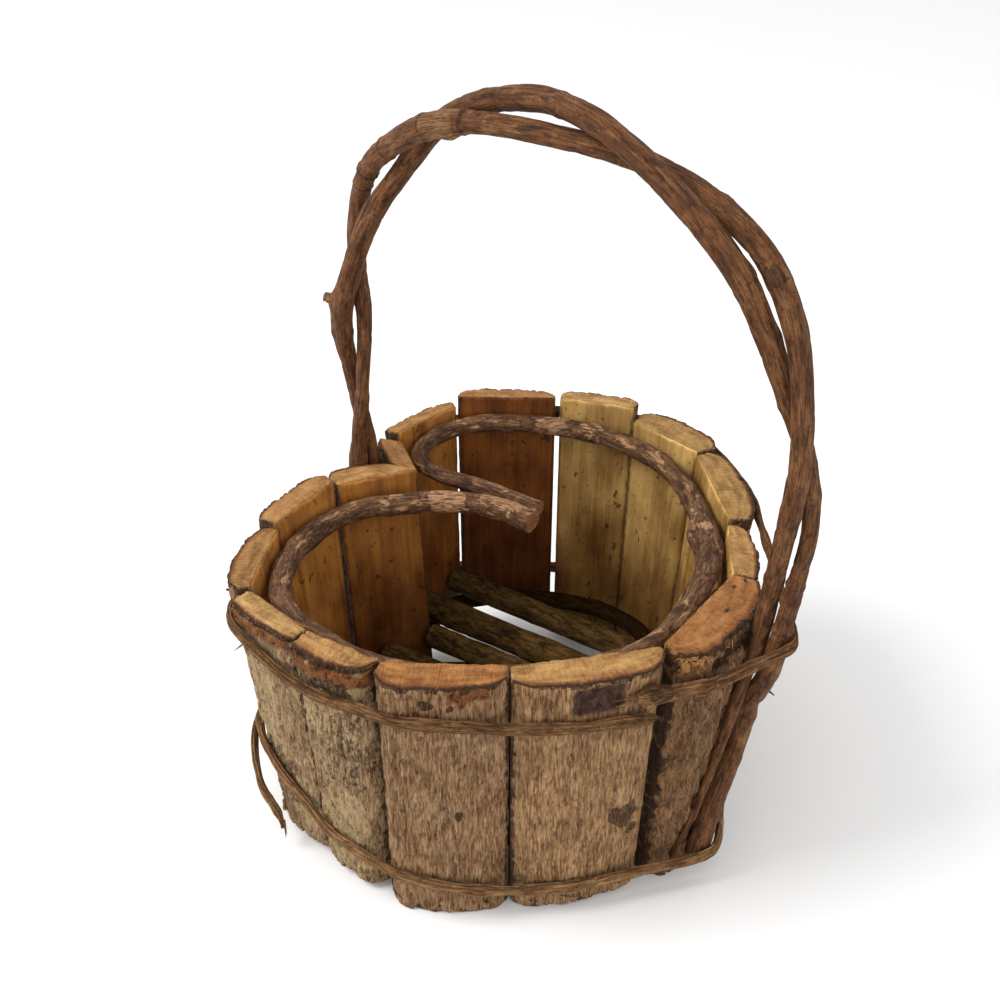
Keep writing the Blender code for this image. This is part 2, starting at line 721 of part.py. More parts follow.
def main():
    """Build the basket."""
    for item in list(bpy.data.objects):
        bpy.data.objects.remove(item, do_unlink=True)
    pieces = [build_slab(index) for index in range(SLAB_COUNT)]
    pieces.append(build_bent_twig("rim_twig", RIM_HEIGHT, RIM_TWIG_DROP, RIM_TWIG_RADIUS,
                                  RIM_TWIG_SHARES))
    pieces.append(build_bent_twig("foot_twig", foot_twig_height(), 0, FOOT_TWIG_RADIUS,
                                  FOOT_TWIG_SHARES))
    pieces += [build_floor_twig(number, *row) for number, row in enumerate(FLOOR_SHARES, start=1)]
    inner, outer = handle_curves()
    pieces.append(build_vine("handle_vine_inner", inner))
    pieces.append(build_vine("handle_vine_outer", outer))
    legs = legs_of(inner) + legs_of(outer)
    pieces.append(build_hoop("upper_hoop", UPPER_HOOP_SHARES, legs))
    pieces.append(build_hoop("lower_hoop", LOWER_HOOP_SHARES, legs, LOOSE_END_SHARES))
    centre_on_ground(pieces)


main()
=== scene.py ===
"""A rustic foraging basket: bark slabs in a heart, bent twigs, a wound vine handle and two hoops.

Every piece is shaped over its CAD solid and finished with procedural bark and split wood. All
lengths are in metres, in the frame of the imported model.
"""

import logging
import math
from dataclasses import dataclass, field
from enum import Enum
from functools import cache

import bmesh
import bpy
import numpy as np
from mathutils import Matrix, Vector, noise


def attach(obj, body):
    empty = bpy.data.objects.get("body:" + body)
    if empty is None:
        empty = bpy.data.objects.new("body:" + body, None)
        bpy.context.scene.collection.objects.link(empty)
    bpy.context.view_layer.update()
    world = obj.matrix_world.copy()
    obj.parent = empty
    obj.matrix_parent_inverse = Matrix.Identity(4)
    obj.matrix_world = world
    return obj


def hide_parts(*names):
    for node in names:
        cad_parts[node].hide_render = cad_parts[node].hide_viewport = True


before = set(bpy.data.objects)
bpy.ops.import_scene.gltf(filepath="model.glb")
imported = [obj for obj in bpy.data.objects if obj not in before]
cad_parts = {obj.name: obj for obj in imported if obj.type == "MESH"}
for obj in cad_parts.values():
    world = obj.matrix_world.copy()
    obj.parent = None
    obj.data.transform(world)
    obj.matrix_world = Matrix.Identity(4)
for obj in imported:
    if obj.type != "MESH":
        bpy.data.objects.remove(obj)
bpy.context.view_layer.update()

log = logging.getLogger("basket")
BODY = "root"
MM = 0.001
WELD = 1e-6
SLAB_LEVELS = 6
SMOOTH_PASSES = 14
CAP_STEPS = 5
AIM = (0.0, 0.0, 0.1)
SLANT = (0.31, 0.52, 0.79)
UP = np.array((0.0, 0.0, 1.0))
Rgb = tuple[float, float, float]
Point = tuple[float, float, float]
Span = tuple[float, float]
Socket = bpy.types.NodeSocket


# Shared measures and noise


def soft_step(low: float, high: float, values: np.ndarray) -> np.ndarray:
    """Rises smoothly from 0 at low to 1 at high.

    Args:
        low: Where the rise starts.
        high: Where the rise ends.
        values: Values to place on the rise.

    Returns:
        Shares between 0 and 1.
    """
    share = np.clip((values - low) / (high - low), 0.0, 1.0)
    return share * share * (3.0 - 2.0 * share)


def unit(vectors: np.ndarray) -> np.ndarray:
    """Vectors scaled to a length of one."""
    return vectors / np.linalg.norm(vectors, axis=-1, keepdims=True)


def grainy(points: np.ndarray, size: Point, octaves: int = 1, shift: float = 0.0) -> np.ndarray:
    """Smooth noise, about -1 to 1, at points in metres.

    Args:
        points: Places, one row each.
        size: Width of the noise's features along each axis, in metres.
        octaves: How many finer layers are added.
        shift: Moves the pattern, so that pieces differ.

    Returns:
        One value for each point.
    """
    scaled = (points / np.array(size) + shift).tolist()
    if octaves == 1:
        return np.array([noise.noise(place) for place in scaled])
    return np.array([noise.fractal(place, 1.0, 2.0, octaves) for place in scaled])


@dataclass(frozen=True)
class Grain:
    """A layer of smooth noise: the width of its features in millimetres, octaves and shift."""

    size: Point
    octaves: int = 1
    shift: float = 0.0

    def at(self, points: np.ndarray) -> np.ndarray:
        """The noise at points in metres."""
        return grainy(points, tuple(width * MM for width in self.size), self.octaves, self.shift)


def merged_copy(node: str) -> bmesh.types.BMesh:
    """A copy of a CAD node's mesh with its loose triangles joined.

    Args:
        node: Name of the CAD node.

    Returns:
        The copy, to be freed by the caller.
    """
    copy = bmesh.new()
    copy.from_mesh(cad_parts[node].data)
    bmesh.ops.remove_doubles(copy, verts=copy.verts, dist=WELD)
    return copy


def paint(mesh: bpy.types.Mesh, place: np.ndarray, values: dict[str, np.ndarray]) -> None:
    """Stores the straightened place and the painted numbers on a mesh.

    Args:
        mesh: Mesh to paint.
        place: One straightened place for each vertex.
        values: Name and numbers of each further attribute.
    """
    mesh.attributes.new("place", "FLOAT_VECTOR", "POINT").data.foreach_set("vector", place.ravel())
    for name, numbers in values.items():
        mesh.attributes.new(name, "FLOAT", "POINT").data.foreach_set("value", numbers)


def as_mesh(shape: bmesh.types.BMesh, name: str) -> bpy.types.Mesh:
    """A smooth-shaded mesh of a finished shape, which is freed.

    Args:
        shape: The finished shape.
        name: Name of the mesh.

    Returns:
        The mesh.
    """
    for face in shape.faces:
        face.smooth = True
    mesh = bpy.data.meshes.new(name)
    shape.to_mesh(mesh)
    shape.free()
    return mesh


def points_of(mesh: bpy.types.Mesh) -> np.ndarray:
    """Places of a mesh's vertices, one row each.

    Args:
        mesh: Mesh to read.

    Returns:
        The places, in the mesh's own frame.
    """
    flat = np.empty(len(mesh.vertices) * 3)
    mesh.vertices.foreach_get("co", flat)
    return flat.reshape(-1, 3)


def put_out(name: str, data: bpy.types.ID) -> bpy.types.Object:
    """A new object in the scene.

    Args:
        name: Name of the object.
        data: Its mesh, camera or light.

    Returns:
        The object.
    """
    thing = bpy.data.objects.new(name, data)
    bpy.context.scene.collection.objects.link(thing)
    return thing


def hand_over(piece: bpy.types.Object, slot: str, *nodes: str) -> None:
    """Lets a piece ride on the basket and hides the CAD nodes that it stands for.

    Args:
        piece: Piece to hand over.
        slot: Not used.
        *nodes: CAD nodes that the piece stands for.
    """
    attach(piece, BODY)
    if nodes:
        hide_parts(*nodes)


def scaled(colour: Rgb, share: float) -> Rgb:
    """A colour made lighter or darker, up to white."""
    return tuple(min(1.0, share * part) for part in colour)


# Materials


class Desk:
    """Lays out the nodes of one procedural material."""

    def __init__(self, name: str) -> None:
        """Starts a material with a bare Principled shader.

        Args:
            name: Name of the material.
        """
        self.material = bpy.data.materials.new(name)
        self.material.use_nodes = True
        self.tree = self.material.node_tree
        self.shader = self.tree.nodes["Principled BSDF"]

    def add(self, kind: str, **settings: object) -> bpy.types.Node:
        """A new node with its settings in place.

        Args:
            kind: Kind of the node.
            **settings: Name and value of each setting.

        Returns:
            The node.
        """
        node = self.tree.nodes.new(kind)
        for name, value in settings.items():
            setattr(node, name, value)
        return node

    def plug(self, source: object, socket: Socket) -> None:
        """Links a socket, or sets a plain value.

        Args:
            source: Socket to link, or a value.
            socket: Input that takes it.
        """
        if isinstance(source, bpy.types.NodeSocket):
            self.tree.links.new(source, socket)
        else:
            socket.default_value = source

    def reading(self, name: str) -> Socket:
        """A number painted on the piece, such as how worn it is."""
        return self.add("ShaderNodeAttribute", attribute_name=name).outputs["Fac"]

    def grain(self, size: Point) -> Socket:
        """Place on the straightened piece, counted in features of a size in millimetres.

        Args:
            size: Feature width across, through and along the grain, in millimetres.

        Returns:
            The vector for a texture node.
        """
        place = self.add("ShaderNodeAttribute", attribute_name="place").outputs["Vector"]
        scale = self.add("ShaderNodeVectorMath", operation="MULTIPLY")
        self.plug(place, scale.inputs[0])
        scale.inputs[1].default_value = tuple(1.0 / (MM * width) for width in size)
        return scale.outputs["Vector"]

    def noise(self, size: Point, detail: float = 4.0, rough: float = 0.6,
              bend: float = 0.0) -> Socket:
        """Fractal noise on the straightened piece, 0 to 1.

        Args:
            size: Size of the features in millimetres.
            detail: How many finer layers are added.
            rough: Strength of the finer layers.
            bend: How far the pattern is distorted.

        Returns:
            The noise.
        """
        node = self.add("ShaderNodeTexNoise", noise_dimensions="3D")
        self.plug(self.grain(size), node.inputs["Vector"])
        node.inputs["Scale"].default_value = 1.0
        node.inputs["Detail"].default_value = detail
        node.inputs["Roughness"].default_value = rough
        node.inputs["Distortion"].default_value = bend
        return node.outputs["Fac"]

    def cells(self, size: Point, feature: str = "F1") -> Socket:
        """Distance in a cell pattern on the straightened piece.

        Args:
            size: Size of the cells in millimetres.
            feature: Which distance is read.

        Returns:
            The distance.
        """
        node = self.add("ShaderNodeTexVoronoi", feature=feature)
        self.plug(self.grain(size), node.inputs["Vector"])
        node.inputs["Scale"].default_value = 1.0
        return node.outputs["Distance"]

    def math(self, operation: str, first: object, second: object = 0.0) -> Socket:
        """One sum on numbers.

        Args:
            operation: Kind of sum.
            first: First number or socket.
            second: Second number or socket.

        Returns:
            The result.
        """
        node = self.add("ShaderNodeMath", operation=operation)
        self.plug(first, node.inputs[0])
        self.plug(second, node.inputs[1])
        return node.outputs[0]

    def blend(self, *parts: tuple[float, Socket]) -> Socket:
        """Sum of numbers, each with its weight.

        Args:
            *parts: Weight and number of each part.

        Returns:
            The sum.
        """
        total = None
        for weight, number in parts:
            share = self.math("MULTIPLY", number, weight)
            total = share if total is None else self.math("ADD", total, share)
        return total

    def fit(self, value: Socket, low: float, high: float, start: float = 0.0,
            end: float = 1.0) -> Socket:
        """A number moved from one range to another, smoothly and clamped.

        Args:
            value: Number to move.
            low: Value that becomes the start.
            high: Value that becomes the end.
            start: Result at low.
            end: Result at high.

        Returns:
            The moved number.
        """
        node = self.add("ShaderNodeMapRange", interpolation_type="SMOOTHSTEP")
        self.plug(value, node.inputs["Value"])
        for name, number in (("From Min", low), ("From Max", high), ("To Min", start),
                             ("To Max", end)):
            node.inputs[name].default_value = number
        return node.outputs["Result"]

    def mottled(self, name: str, size: Point, spread: float = 1.4) -> Socket:
        """A painted number broken up by noise into patches with crisp, ragged edges.

        Args:
            name: Name of the painted number.
            size: Size of the noise in millimetres.
            spread: How far the noise reaches into half-strong areas.

        Returns:
            The share of each place that the mark takes.
        """
        noise_part = self.math("SUBTRACT", self.noise(size, detail=6.0, rough=0.75, bend=0.4), 0.5)
        reach = self.math("ADD", self.reading(name), self.math("MULTIPLY", noise_part, spread))
        return self.fit(reach, 0.44, 0.62)

    def ramp(self, value: Socket, stops: list[tuple[float, Rgb]]) -> Socket:
        """Colours read off a number.

        Args:
            value: Number to read.
            stops: Number and colour of each stop.

        Returns:
            The colour.
        """
        node = self.add("ShaderNodeValToRGB")
        self.plug(value, node.inputs["Fac"])
        colours = node.color_ramp.elements
        while len(colours) < len(stops):
            colours.new(0.5)
        for element, (place, colour) in zip(colours, stops):
            element.position = place
            element.color = (*colour, 1.0)
        return node.outputs["Color"]

    def mix(self, share: object, first: object, second: object, blend: str = "MIX") -> Socket:
        """Two colours mixed by a share.

        Args:
            share: Share of the second colour.
            first: First colour.
            second: Second colour.
            blend: How the second is laid over the first.

        Returns:
            The mixed colour.
        """
        node = self.add("ShaderNodeMix", data_type="RGBA", blend_type=blend)
        self.plug(share, node.inputs[0])
        for colour, socket in ((first, node.inputs[6]), (second, node.inputs[7])):
            self.plug((*colour, 1.0) if isinstance(colour, tuple) else colour, socket)
        return node.outputs[2]

    def stain(self, colour: Socket, share: Socket, strength: object, other: object) -> Socket:
        """A colour partly covered by another one.

        Args:
            colour: Colour that shows through.
            share: How far each place is covered.
            strength: Share of that cover that shows.
            other: Colour of the stain.

        Returns:
            The stained colour.
        """
        return self.mix(self.math("MULTIPLY", share, strength), colour, other)

    def bump(self, height: Socket, depth: float, strength: float = 1.0,
             normal: Socket | None = None) -> Socket:
        """A bump of a height field.

        Args:
            height: Height between 0 and 1.
            depth: Real depth in millimetres.
            strength: Share of the bump that shows.
            normal: Bump to build on.

        Returns:
            The new normal.
        """
        node = self.add("ShaderNodeBump")
        node.inputs["Strength"].default_value = strength
        node.inputs["Distance"].default_value = depth * MM
        self.plug(height, node.inputs["Height"])
        if normal is not None:
            self.plug(normal, node.inputs["Normal"])
        return node.outputs["Normal"]

    def finish(self, colour: Socket, roughness: object, normal: Socket,
               specular: float = 0.25) -> bpy.types.Material:
        """Plugs the shader and hands the material over.

        Args:
            colour: Colour of the surface.
            roughness: Its roughness.
            normal: Its bumps.
            specular: Strength of its gloss.

        Returns:
            The finished material.
        """
        self.plug(colour, self.shader.inputs["Base Color"])
        self.plug(roughness, self.shader.inputs["Roughness"])
        self.plug(normal, self.shader.inputs["Normal"])
        self.shader.inputs["Specular IOR Level"].default_value = specular
        return self.material


@dataclass(frozen=True)
class SlabBark:
    """Furrowed bark on the outside of a split slab."""

    name: str
    dark: Rgb = (0.026, 0.012, 0.005)
    middle: Rgb = (0.200, 0.103, 0.044)
    light: Rgb = (0.520, 0.320, 0.165)
    inner: Rgb = (0.230, 0.085, 0.026)
    grey: Rgb = (0.480, 0.350, 0.180)
    roughness: float = 0.86

    def make(self) -> bpy.types.Material:
        """Builds the bark's nodes.

        Returns:
            The material.
        """
        desk = Desk(self.name)
        furrows = desk.noise((0.8, 0.8, 7.5), detail=6.0, rough=0.72, bend=0.5)
        fibres = desk.noise((0.28, 0.28, 4.4), detail=6.0, rough=0.80, bend=0.4)
        blotches = desk.noise((8.0, 8.0, 15.0), detail=5.0, rough=0.6)
        flakes = desk.cells((1.1, 1.1, 2.9))
        tone = desk.blend((0.40, furrows), (0.58, fibres), (0.20, blotches))
        tone = desk.math("SUBTRACT", tone, 0.09)
        colour = desk.ramp(tone, [(0.36, self.dark), (0.47, self.middle), (0.60, self.light)])
        warm = desk.fit(desk.noise((11.0, 11.0, 19.0), detail=4.0, rough=0.6), 0.50, 0.68)
        colour = desk.stain(colour, warm, 0.16, self.inner)
        worn = desk.fit(desk.noise((6.0, 6.0, 13.0), detail=5.0, rough=0.7), 0.34, 0.44, 0.4, 0.0)
        colour = desk.mix(worn, colour, self.dark)
        deep = desk.fit(desk.reading("deep"), 0.30, 1.0)
        colour = desk.stain(colour, deep, 0.5, self.dark)
        cracks = desk.fit(desk.noise((2.2, 2.2, 0.7), detail=4.0, rough=0.7, bend=0.6), 0.62, 0.70)
        colour = desk.stain(colour, cracks, 0.25, self.dark)
        chips = desk.fit(desk.noise((0.9, 0.9, 2.0), detail=3.0, rough=0.7), 0.61, 0.70)
        colour = desk.stain(colour, chips, 0.40, self.light)
        pale = desk.mottled("pale", (1.5, 1.5, 3.2), 2.2)
        colour = desk.stain(colour, pale, desk.fit(fibres, 0.34, 0.56, 0.15, 0.9), self.grey)
        flesh = desk.noise((2.0, 2.0, 3.6), detail=6.0, rough=0.75, bend=0.6)
        bare = desk.mix(desk.fit(flesh, 0.42, 0.62), self.inner, scaled(self.inner, 0.20))
        colour = desk.mix(desk.reading("bare"), colour, bare)
        # pit darkens scars, the dark rim under the top, patches at the foot and the painted shade
        # along the seams
        pit = desk.mottled("pit", (0.9, 0.9, 1.6))
        colour = desk.stain(colour, pit, desk.fit(fibres, 0.34, 0.62, 1.0, 0.62),
                            scaled(self.dark, 0.75))
        normal = desk.bump(blotches, 0.6, 0.6)
        normal = desk.bump(pit, -0.35, 0.8, normal)
        normal = desk.bump(furrows, 0.95, 1.0, normal)
        normal = desk.bump(flakes, 0.25, 0.8, normal)
        normal = desk.bump(fibres, 0.42, 1.0, normal)
        rough = desk.fit(tone, 0.3, 0.7, self.roughness, self.roughness - 0.12)
        return desk.finish(colour, rough, normal, 0.18)


@dataclass(frozen=True)
class SplitWood:
    """Flat inner face of a slab, split along its grain."""

    name: str
    dark: Rgb = (0.185, 0.082, 0.016)
    light: Rgb = (0.560, 0.335, 0.095)
    speck: Rgb = (0.045, 0.017, 0.004)
    # low: tint that the painted shade multiplies in towards the bottom of the inner face
    low: Rgb = (0.55, 0.44, 0.30)
    specks: float = 0.5
    roughness: float = 0.62

    def make(self) -> bpy.types.Material:
        """Builds the split wood's nodes.

        Returns:
            The material.
        """
        desk = Desk(self.name)
        grain = desk.noise((0.55, 0.55, 42.0), detail=5.0, rough=0.62, bend=0.25)
        bands = desk.noise((4.5, 4.5, 70.0), detail=3.0, rough=0.5, bend=0.5)
        clouds = desk.noise((14.0, 14.0, 26.0), detail=4.0, rough=0.55)
        tone = desk.blend((0.24, grain), (0.30, bands), (0.46, clouds))
        colour = desk.ramp(tone, [(0.38, self.dark), (0.61, self.light)])
        for width, limit in ((3.4, 0.655), (1.3, 0.675)):
            spots = desk.noise((width, width, 1.5 * width), detail=3.0, rough=0.55, bend=0.4)
            spots = desk.fit(spots, limit - 0.03 * self.specks, limit + 0.03)
            colour = desk.stain(colour, spots, 0.8, self.speck)
        smears = desk.fit(desk.noise((2.6, 2.6, 14.0), detail=5.0, rough=0.7, bend=1.0), 0.56, 0.70)
        colour = desk.stain(colour, smears, 0.55 * self.specks, self.speck)
        # pit darkens scars and the painted shade in the inner joints between slabs
        colour = desk.mix(desk.reading("pit"), colour, self.speck)
        # Painted shade: the inner face is darkened towards the bottom, broken up by the clouds
        bottom_shade = desk.math("ADD", desk.reading("height"), desk.math("MULTIPLY", clouds, 0.5))
        colour = desk.mix(desk.fit(bottom_shade, 0.45, 1.05, 1.0, 0.0), colour, self.low, "MULTIPLY")
        # Lighter rounded top edges: partly wear, partly a painted highlight where the edges face the
        # light
        worn = desk.math("MULTIPLY", desk.reading("edge"), desk.fit(clouds, 0.40, 0.62))
        colour = desk.mix(worn, colour, scaled(self.light, 1.5))
        normal = desk.bump(bands, 0.35, 0.6)
        normal = desk.bump(grain, 0.22, 1.0, normal)
        rough = desk.fit(clouds, 0.35, 0.65, self.roughness - 0.08, self.roughness + 0.12)
        return desk.finish(colour, rough, normal, 0.3)


@dataclass(frozen=True)
class SawnWood:
    """Sawn end of a slab or twig, with its bark showing as a dark rim."""

    name: str
    dark: Rgb = (0.190, 0.080, 0.019)
    light: Rgb = (0.510, 0.285, 0.100)
    rim: Rgb = (0.035, 0.014, 0.005)
    cambium: Rgb = (0.150, 0.048, 0.011)
    roughness: float = 0.72

    def make(self) -> bpy.types.Material:
        """Builds the sawn wood's nodes.

        Returns:
            The material.
        """
        desk = Desk(self.name)
        streaks = desk.noise((0.7, 4.5, 3.0), detail=6.0, rough=0.70, bend=0.5)
        pores = desk.noise((0.28, 0.24, 0.4), detail=2.0, rough=0.7)
        clouds = desk.noise((9.0, 4.0, 9.0), detail=4.0, rough=0.6)
        cuts = desk.noise((9.0, 1.1, 2.0), detail=5.0, rough=0.65, bend=0.4)
        tone = desk.blend((0.30, streaks), (0.36, clouds), (0.18, pores), (0.12, cuts))
        colour = desk.ramp(tone, [(0.41, self.dark), (0.57, self.light)])
        stain = desk.fit(desk.noise((3.4, 2.2, 3.0), detail=5.0, rough=0.75, bend=0.8), 0.57, 0.70)
        colour = desk.stain(colour, stain, 0.45, self.cambium)
        dots = desk.fit(desk.noise((1.1, 0.9, 1.0), detail=3.0, rough=0.6), 0.68, 0.74)
        colour = desk.stain(colour, dots, 0.4, self.rim)
        edge = desk.math("ADD", desk.reading("depth"),
                         desk.math("MULTIPLY", desk.noise((1.5, 1.5, 2.0), detail=4.0), 0.16))
        colour = desk.mix(desk.fit(edge, 0.86, 0.95), colour, self.cambium)
        colour = desk.mix(desk.fit(edge, 0.95, 1.01), colour, self.rim)
        colour = desk.mix(desk.reading("pit"), colour, self.rim)
        normal = desk.bump(clouds, 0.7, 0.7)
        normal = desk.bump(streaks, 0.35, 0.8, normal)
        normal = desk.bump(cuts, 0.25, 0.7, normal)
        normal = desk.bump(pores, 0.14, 0.9, normal)
        return desk.finish(colour, self.roughness, normal, 0.25)


@dataclass(frozen=True)
class VineBark:
    """Thin stringy bark of a vine or twig, with a sawn end."""

    name: str
    dark: Rgb = (0.015, 0.005, 0.002)
    middle: Rgb = (0.100, 0.036, 0.011)
    light: Rgb = (0.275, 0.118, 0.042)
    worn: Rgb = (0.270, 0.145, 0.060)
    cut: Rgb = (0.340, 0.150, 0.060)
    fibre: Point = (0.45, 0.45, 12.0)
    roughness: float = 0.6
    gloss: float = 0.2
    patches: float = 0.4

    def make(self) -> bpy.types.Material:
        """Builds the vine bark's nodes.

        Returns:
            The material.
        """
        desk = Desk(self.name)
        fibres = desk.noise(self.fibre, detail=6.0, rough=0.68, bend=0.4)
        clouds = desk.noise((3.6, 3.6, 9.0), detail=5.0, rough=0.65)
        fine = desk.noise((0.25, 0.25, 1.4), detail=4.0, rough=0.75)
        tone = desk.blend((0.50, fibres), (0.30, clouds), (0.20, fine))
        colour = desk.ramp(tone, [(0.35, self.dark), (0.48, self.middle), (0.64, self.light)])
        patches = desk.noise((5.0, 5.0, 11.0), detail=6.0, rough=0.7, bend=0.6)
        dim = desk.fit(patches, 0.38, 0.45, self.patches, 0.0)
        colour = desk.mix(dim, colour, self.dark)
        lit = desk.fit(patches, 0.56, 0.64, 0.0, self.patches)
        colour = desk.mix(lit, colour, self.worn)
        flecks = desk.fit(desk.noise((0.8, 0.8, 2.6), detail=2.0, rough=0.6), 0.64, 0.72)
        colour = desk.stain(colour, flecks, 0.5, self.light)
        dots = desk.fit(desk.noise((1.3, 1.3, 1.9), detail=3.0, rough=0.7), 0.66, 0.73)
        colour = desk.stain(colour, dots, 0.7, self.dark)
        deep = desk.fit(desk.reading("deep"), 0.3, 1.0)
        colour = desk.stain(colour, deep, 0.6, self.dark)
        worn = desk.math("MULTIPLY", desk.mottled("pale", (1.6, 1.6, 4.0), 2.0),
                         desk.fit(fibres, 0.38, 0.58, 0.0, 0.85))
        colour = desk.mix(worn, colour, self.worn)
        wrinkles = desk.fit(desk.noise((3.0, 3.0, 0.8), detail=4.0, rough=0.65, bend=0.5), 0.60, 0.68)
        colour = desk.stain(colour, wrinkles, 0.45, self.dark)
        pit = desk.mottled("pit", (1.0, 1.0, 1.6))
        colour = desk.stain(colour, pit, desk.fit(fibres, 0.36, 0.60, 0.92, 0.5), self.dark)
        bare = desk.math("MULTIPLY", desk.reading("bare"), desk.fit(fine, 0.3, 0.6, 0.6, 1.0))
        colour = desk.mix(bare, colour, self.cut)
        rings = desk.noise((1.0, 1.0, 2.0), detail=4.0, rough=0.7)
        end = desk.mix(desk.fit(rings, 0.35, 0.62), scaled(self.cut, 0.45), self.cut)
        colour = desk.mix(desk.reading("cut"), colour, end)
        normal = desk.bump(clouds, 0.6, 0.7)
        normal = desk.bump(fibres, 0.55, 1.0, normal)
        normal = desk.bump(wrinkles, -0.18, 0.8, normal)
        normal = desk.bump(fine, 0.14, 1.0, normal)
        rough = desk.fit(tone, 0.32, 0.7, self.roughness + 0.12, self.roughness - 0.06)
        return desk.finish(colour, rough, normal, self.gloss)


@cache
def wood(finish: SlabBark | SplitWood | SawnWood | VineBark) -> bpy.types.Material:
    """The material of a finish, made the first time it is asked for and then shared."""
    return finish.make()


# Slabs


class Zone(Enum):
    """Faces of a slab, in the order of its material slots."""

    BARK = 0
    SPLIT = 1
    SAWN = 2


class Trace(Enum):
    """What a mark leaves on a piece: the name of the painted number."""

    # PIT darkens the colour: scars, knots and grooves, and on slabs also painted shade in seams,
    # joints and slots
    PIT = "pit"
    BARE = "bare"
    PALE = "pale"


@dataclass(frozen=True)
class Mark:
    """A scar, bare patch or pale patch on the bark, by its shares across and up the slab."""

    trace: Trace
    across: float
    height: float
    wide: float
    tall: float
    depth: float = 0.0
    ragged: float = 0.5
    strength: float = 1.0
    boxy: bool = False

    def cover(self, across: np.ndarray, height: np.ndarray, place: np.ndarray) -> np.ndarray:
        """How far the mark covers each point.

        Args:
            across: Share across the piece.
            height: Share up the piece.
            place: Straightened places, for the ragged edge.

        Returns:
            Shares between 0 and 1.
        """
        power = 6.0 if self.boxy else 2.0
        reach = (np.abs((across - self.across) / self.wide) ** power
                 + np.abs((height - self.height) / self.tall) ** power) ** (1.0 / power)
        edge = Grain((4.0, 4.0, 7.0), 3, self.across * 9.0).at(place)
        return self.strength * (1.0 - soft_step(0.85, 1.15, reach + self.ragged * edge))


@dataclass(frozen=True)
class Spot:
    """A dark knot or bruise on the sawn top of a slab, by its shares across and outwards."""

    across: float
    depth: float
    radius: float

    def cover(self, share: np.ndarray, sizes: np.ndarray) -> np.ndarray:
        """How far the spot covers each point of the slab.

        Args:
            share: Shares of each point across, outwards and up the slab.
            sizes: Width, thickness and height of the slab.

        Returns:
            Shares between 0 and 1.
        """
        gap = (share[:, :2] - np.array((self.across, self.depth))) * sizes[:2]
        reach = np.hypot(gap[:, 0], 1.4 * gap[:, 1]) / self.radius
        return (1.0 - soft_step(0.5, 1.2, reach)) * (share[:, 2] > 1.0 - WELD)


@dataclass(frozen=True)
class SlabForm:
    """Sections of a slab: its two inner corners and its bark line at every level."""

    inner: np.ndarray
    bark: np.ndarray

    @classmethod
    def read(cls, node: str) -> "SlabForm":
        """Reads the sections off a CAD node.

        Args:
            node: Name of the slab.

        Returns:
            Its form, from foot to top.
        """
        copy = merged_copy(node)
        points = np.array(sorted((tuple(vert.co) for vert in copy.verts), key=lambda co: co[2]))
        copy.free()
        inner = []
        bark = []
        for section in points.reshape(SLAB_LEVELS, -1, 3):
            middle = section.mean(axis=0)
            turn = np.arctan2(section[:, 1] - middle[1], section[:, 0] - middle[0])
            ring = section[np.argsort(-turn)]
            spans = np.linalg.norm((np.roll(ring, -1, axis=0) - ring)[:, :2], axis=1)
            ring = np.roll(ring, -int(spans.argmax()), axis=0)
            inner.append(ring[:2])
            bark.append(ring[2:][::-1])
        return cls(np.array(inner), np.array(bark))

    @property
    def sizes(self) -> np.ndarray:
        """Width, thickness and height of the slab.

        Returns:
            The three sizes, in metres.
        """
        width = np.linalg.norm(self.inner[-1, 1] - self.inner[-1, 0])
        middle = self.bark.shape[1] // 2
        thickness = np.linalg.norm(self.bark[-1, middle] - self.inner[-1].mean(axis=0))
        height = self.bark[-1, :, 2].mean() - self.bark[0, :, 2].mean()
        return np.array((width, thickness, height))

    def at(self, across: np.ndarray, depth: np.ndarray, height: np.ndarray) -> np.ndarray:
        """Places inside the slab by shares of its width, thickness and height.

        Args:
            across: Share of the width.
            depth: Share of the thickness, from the split face outwards.
            height: Share of the height.

        Returns:
            The places, one row each.
        """
        level = height * (len(self.inner) - 1)
        low = np.clip(level.astype(int), 0, len(self.inner) - 2)
        rise = (level - low)[:, None]
        inner = []
        outer = []
        steps = self.bark.shape[1] - 1
        for row in (low, low + 1):
            start, end = self.inner[row, 0], self.inner[row, 1]
            inner.append(start + (end - start) * across[:, None])
            column = across * steps
            left = np.clip(column.astype(int), 0, steps - 1)
            share = (column - left)[:, None]
            before = self.bark[row, np.clip(left - 1, 0, steps)]
            first = self.bark[row, left]
            last = self.bark[row, left + 1]
            after = self.bark[row, np.clip(left + 2, 0, steps)]
            outer.append(0.5 * (2 * first + (last - before) * share
                                + (2 * before - 5 * first + 4 * last - after) * share ** 2
                                + (3 * first - before - 3 * last + after) * share ** 3))
        inside = inner[0] + (inner[1] - inner[0]) * rise
        outside = outer[0] + (outer[1] - outer[0]) * rise
        return inside + (outside - inside) * depth[:, None]


@dataclass(frozen=True)
class SlabGrid:
    """Points of a slab's mesh, by their shares of its width, thickness and height."""

    share: np.ndarray
    sizes: np.ndarray
    place: np.ndarray

    @property
    def across(self) -> np.ndarray:
        """Share across the slab."""
        return self.share[:, 0]

    @property
    def depth(self) -> np.ndarray:
        """Share from the split face out to the bark."""
        return self.share[:, 1]

    @property
    def height(self) -> np.ndarray:
        """Share from the foot to the top."""
        return self.share[:, 2]

    @property
    def to_top(self) -> np.ndarray:
        """Distance to the sawn top."""
        return (1.0 - self.height) * self.sizes[2]

    @property
    def to_foot(self) -> np.ndarray:
        """Distance to the sawn foot."""
        return self.height * self.sizes[2]

    @property
    def to_side(self) -> np.ndarray:
        """Distance to the nearer side."""
        return np.minimum(self.across, 1.0 - self.across) * self.sizes[0]


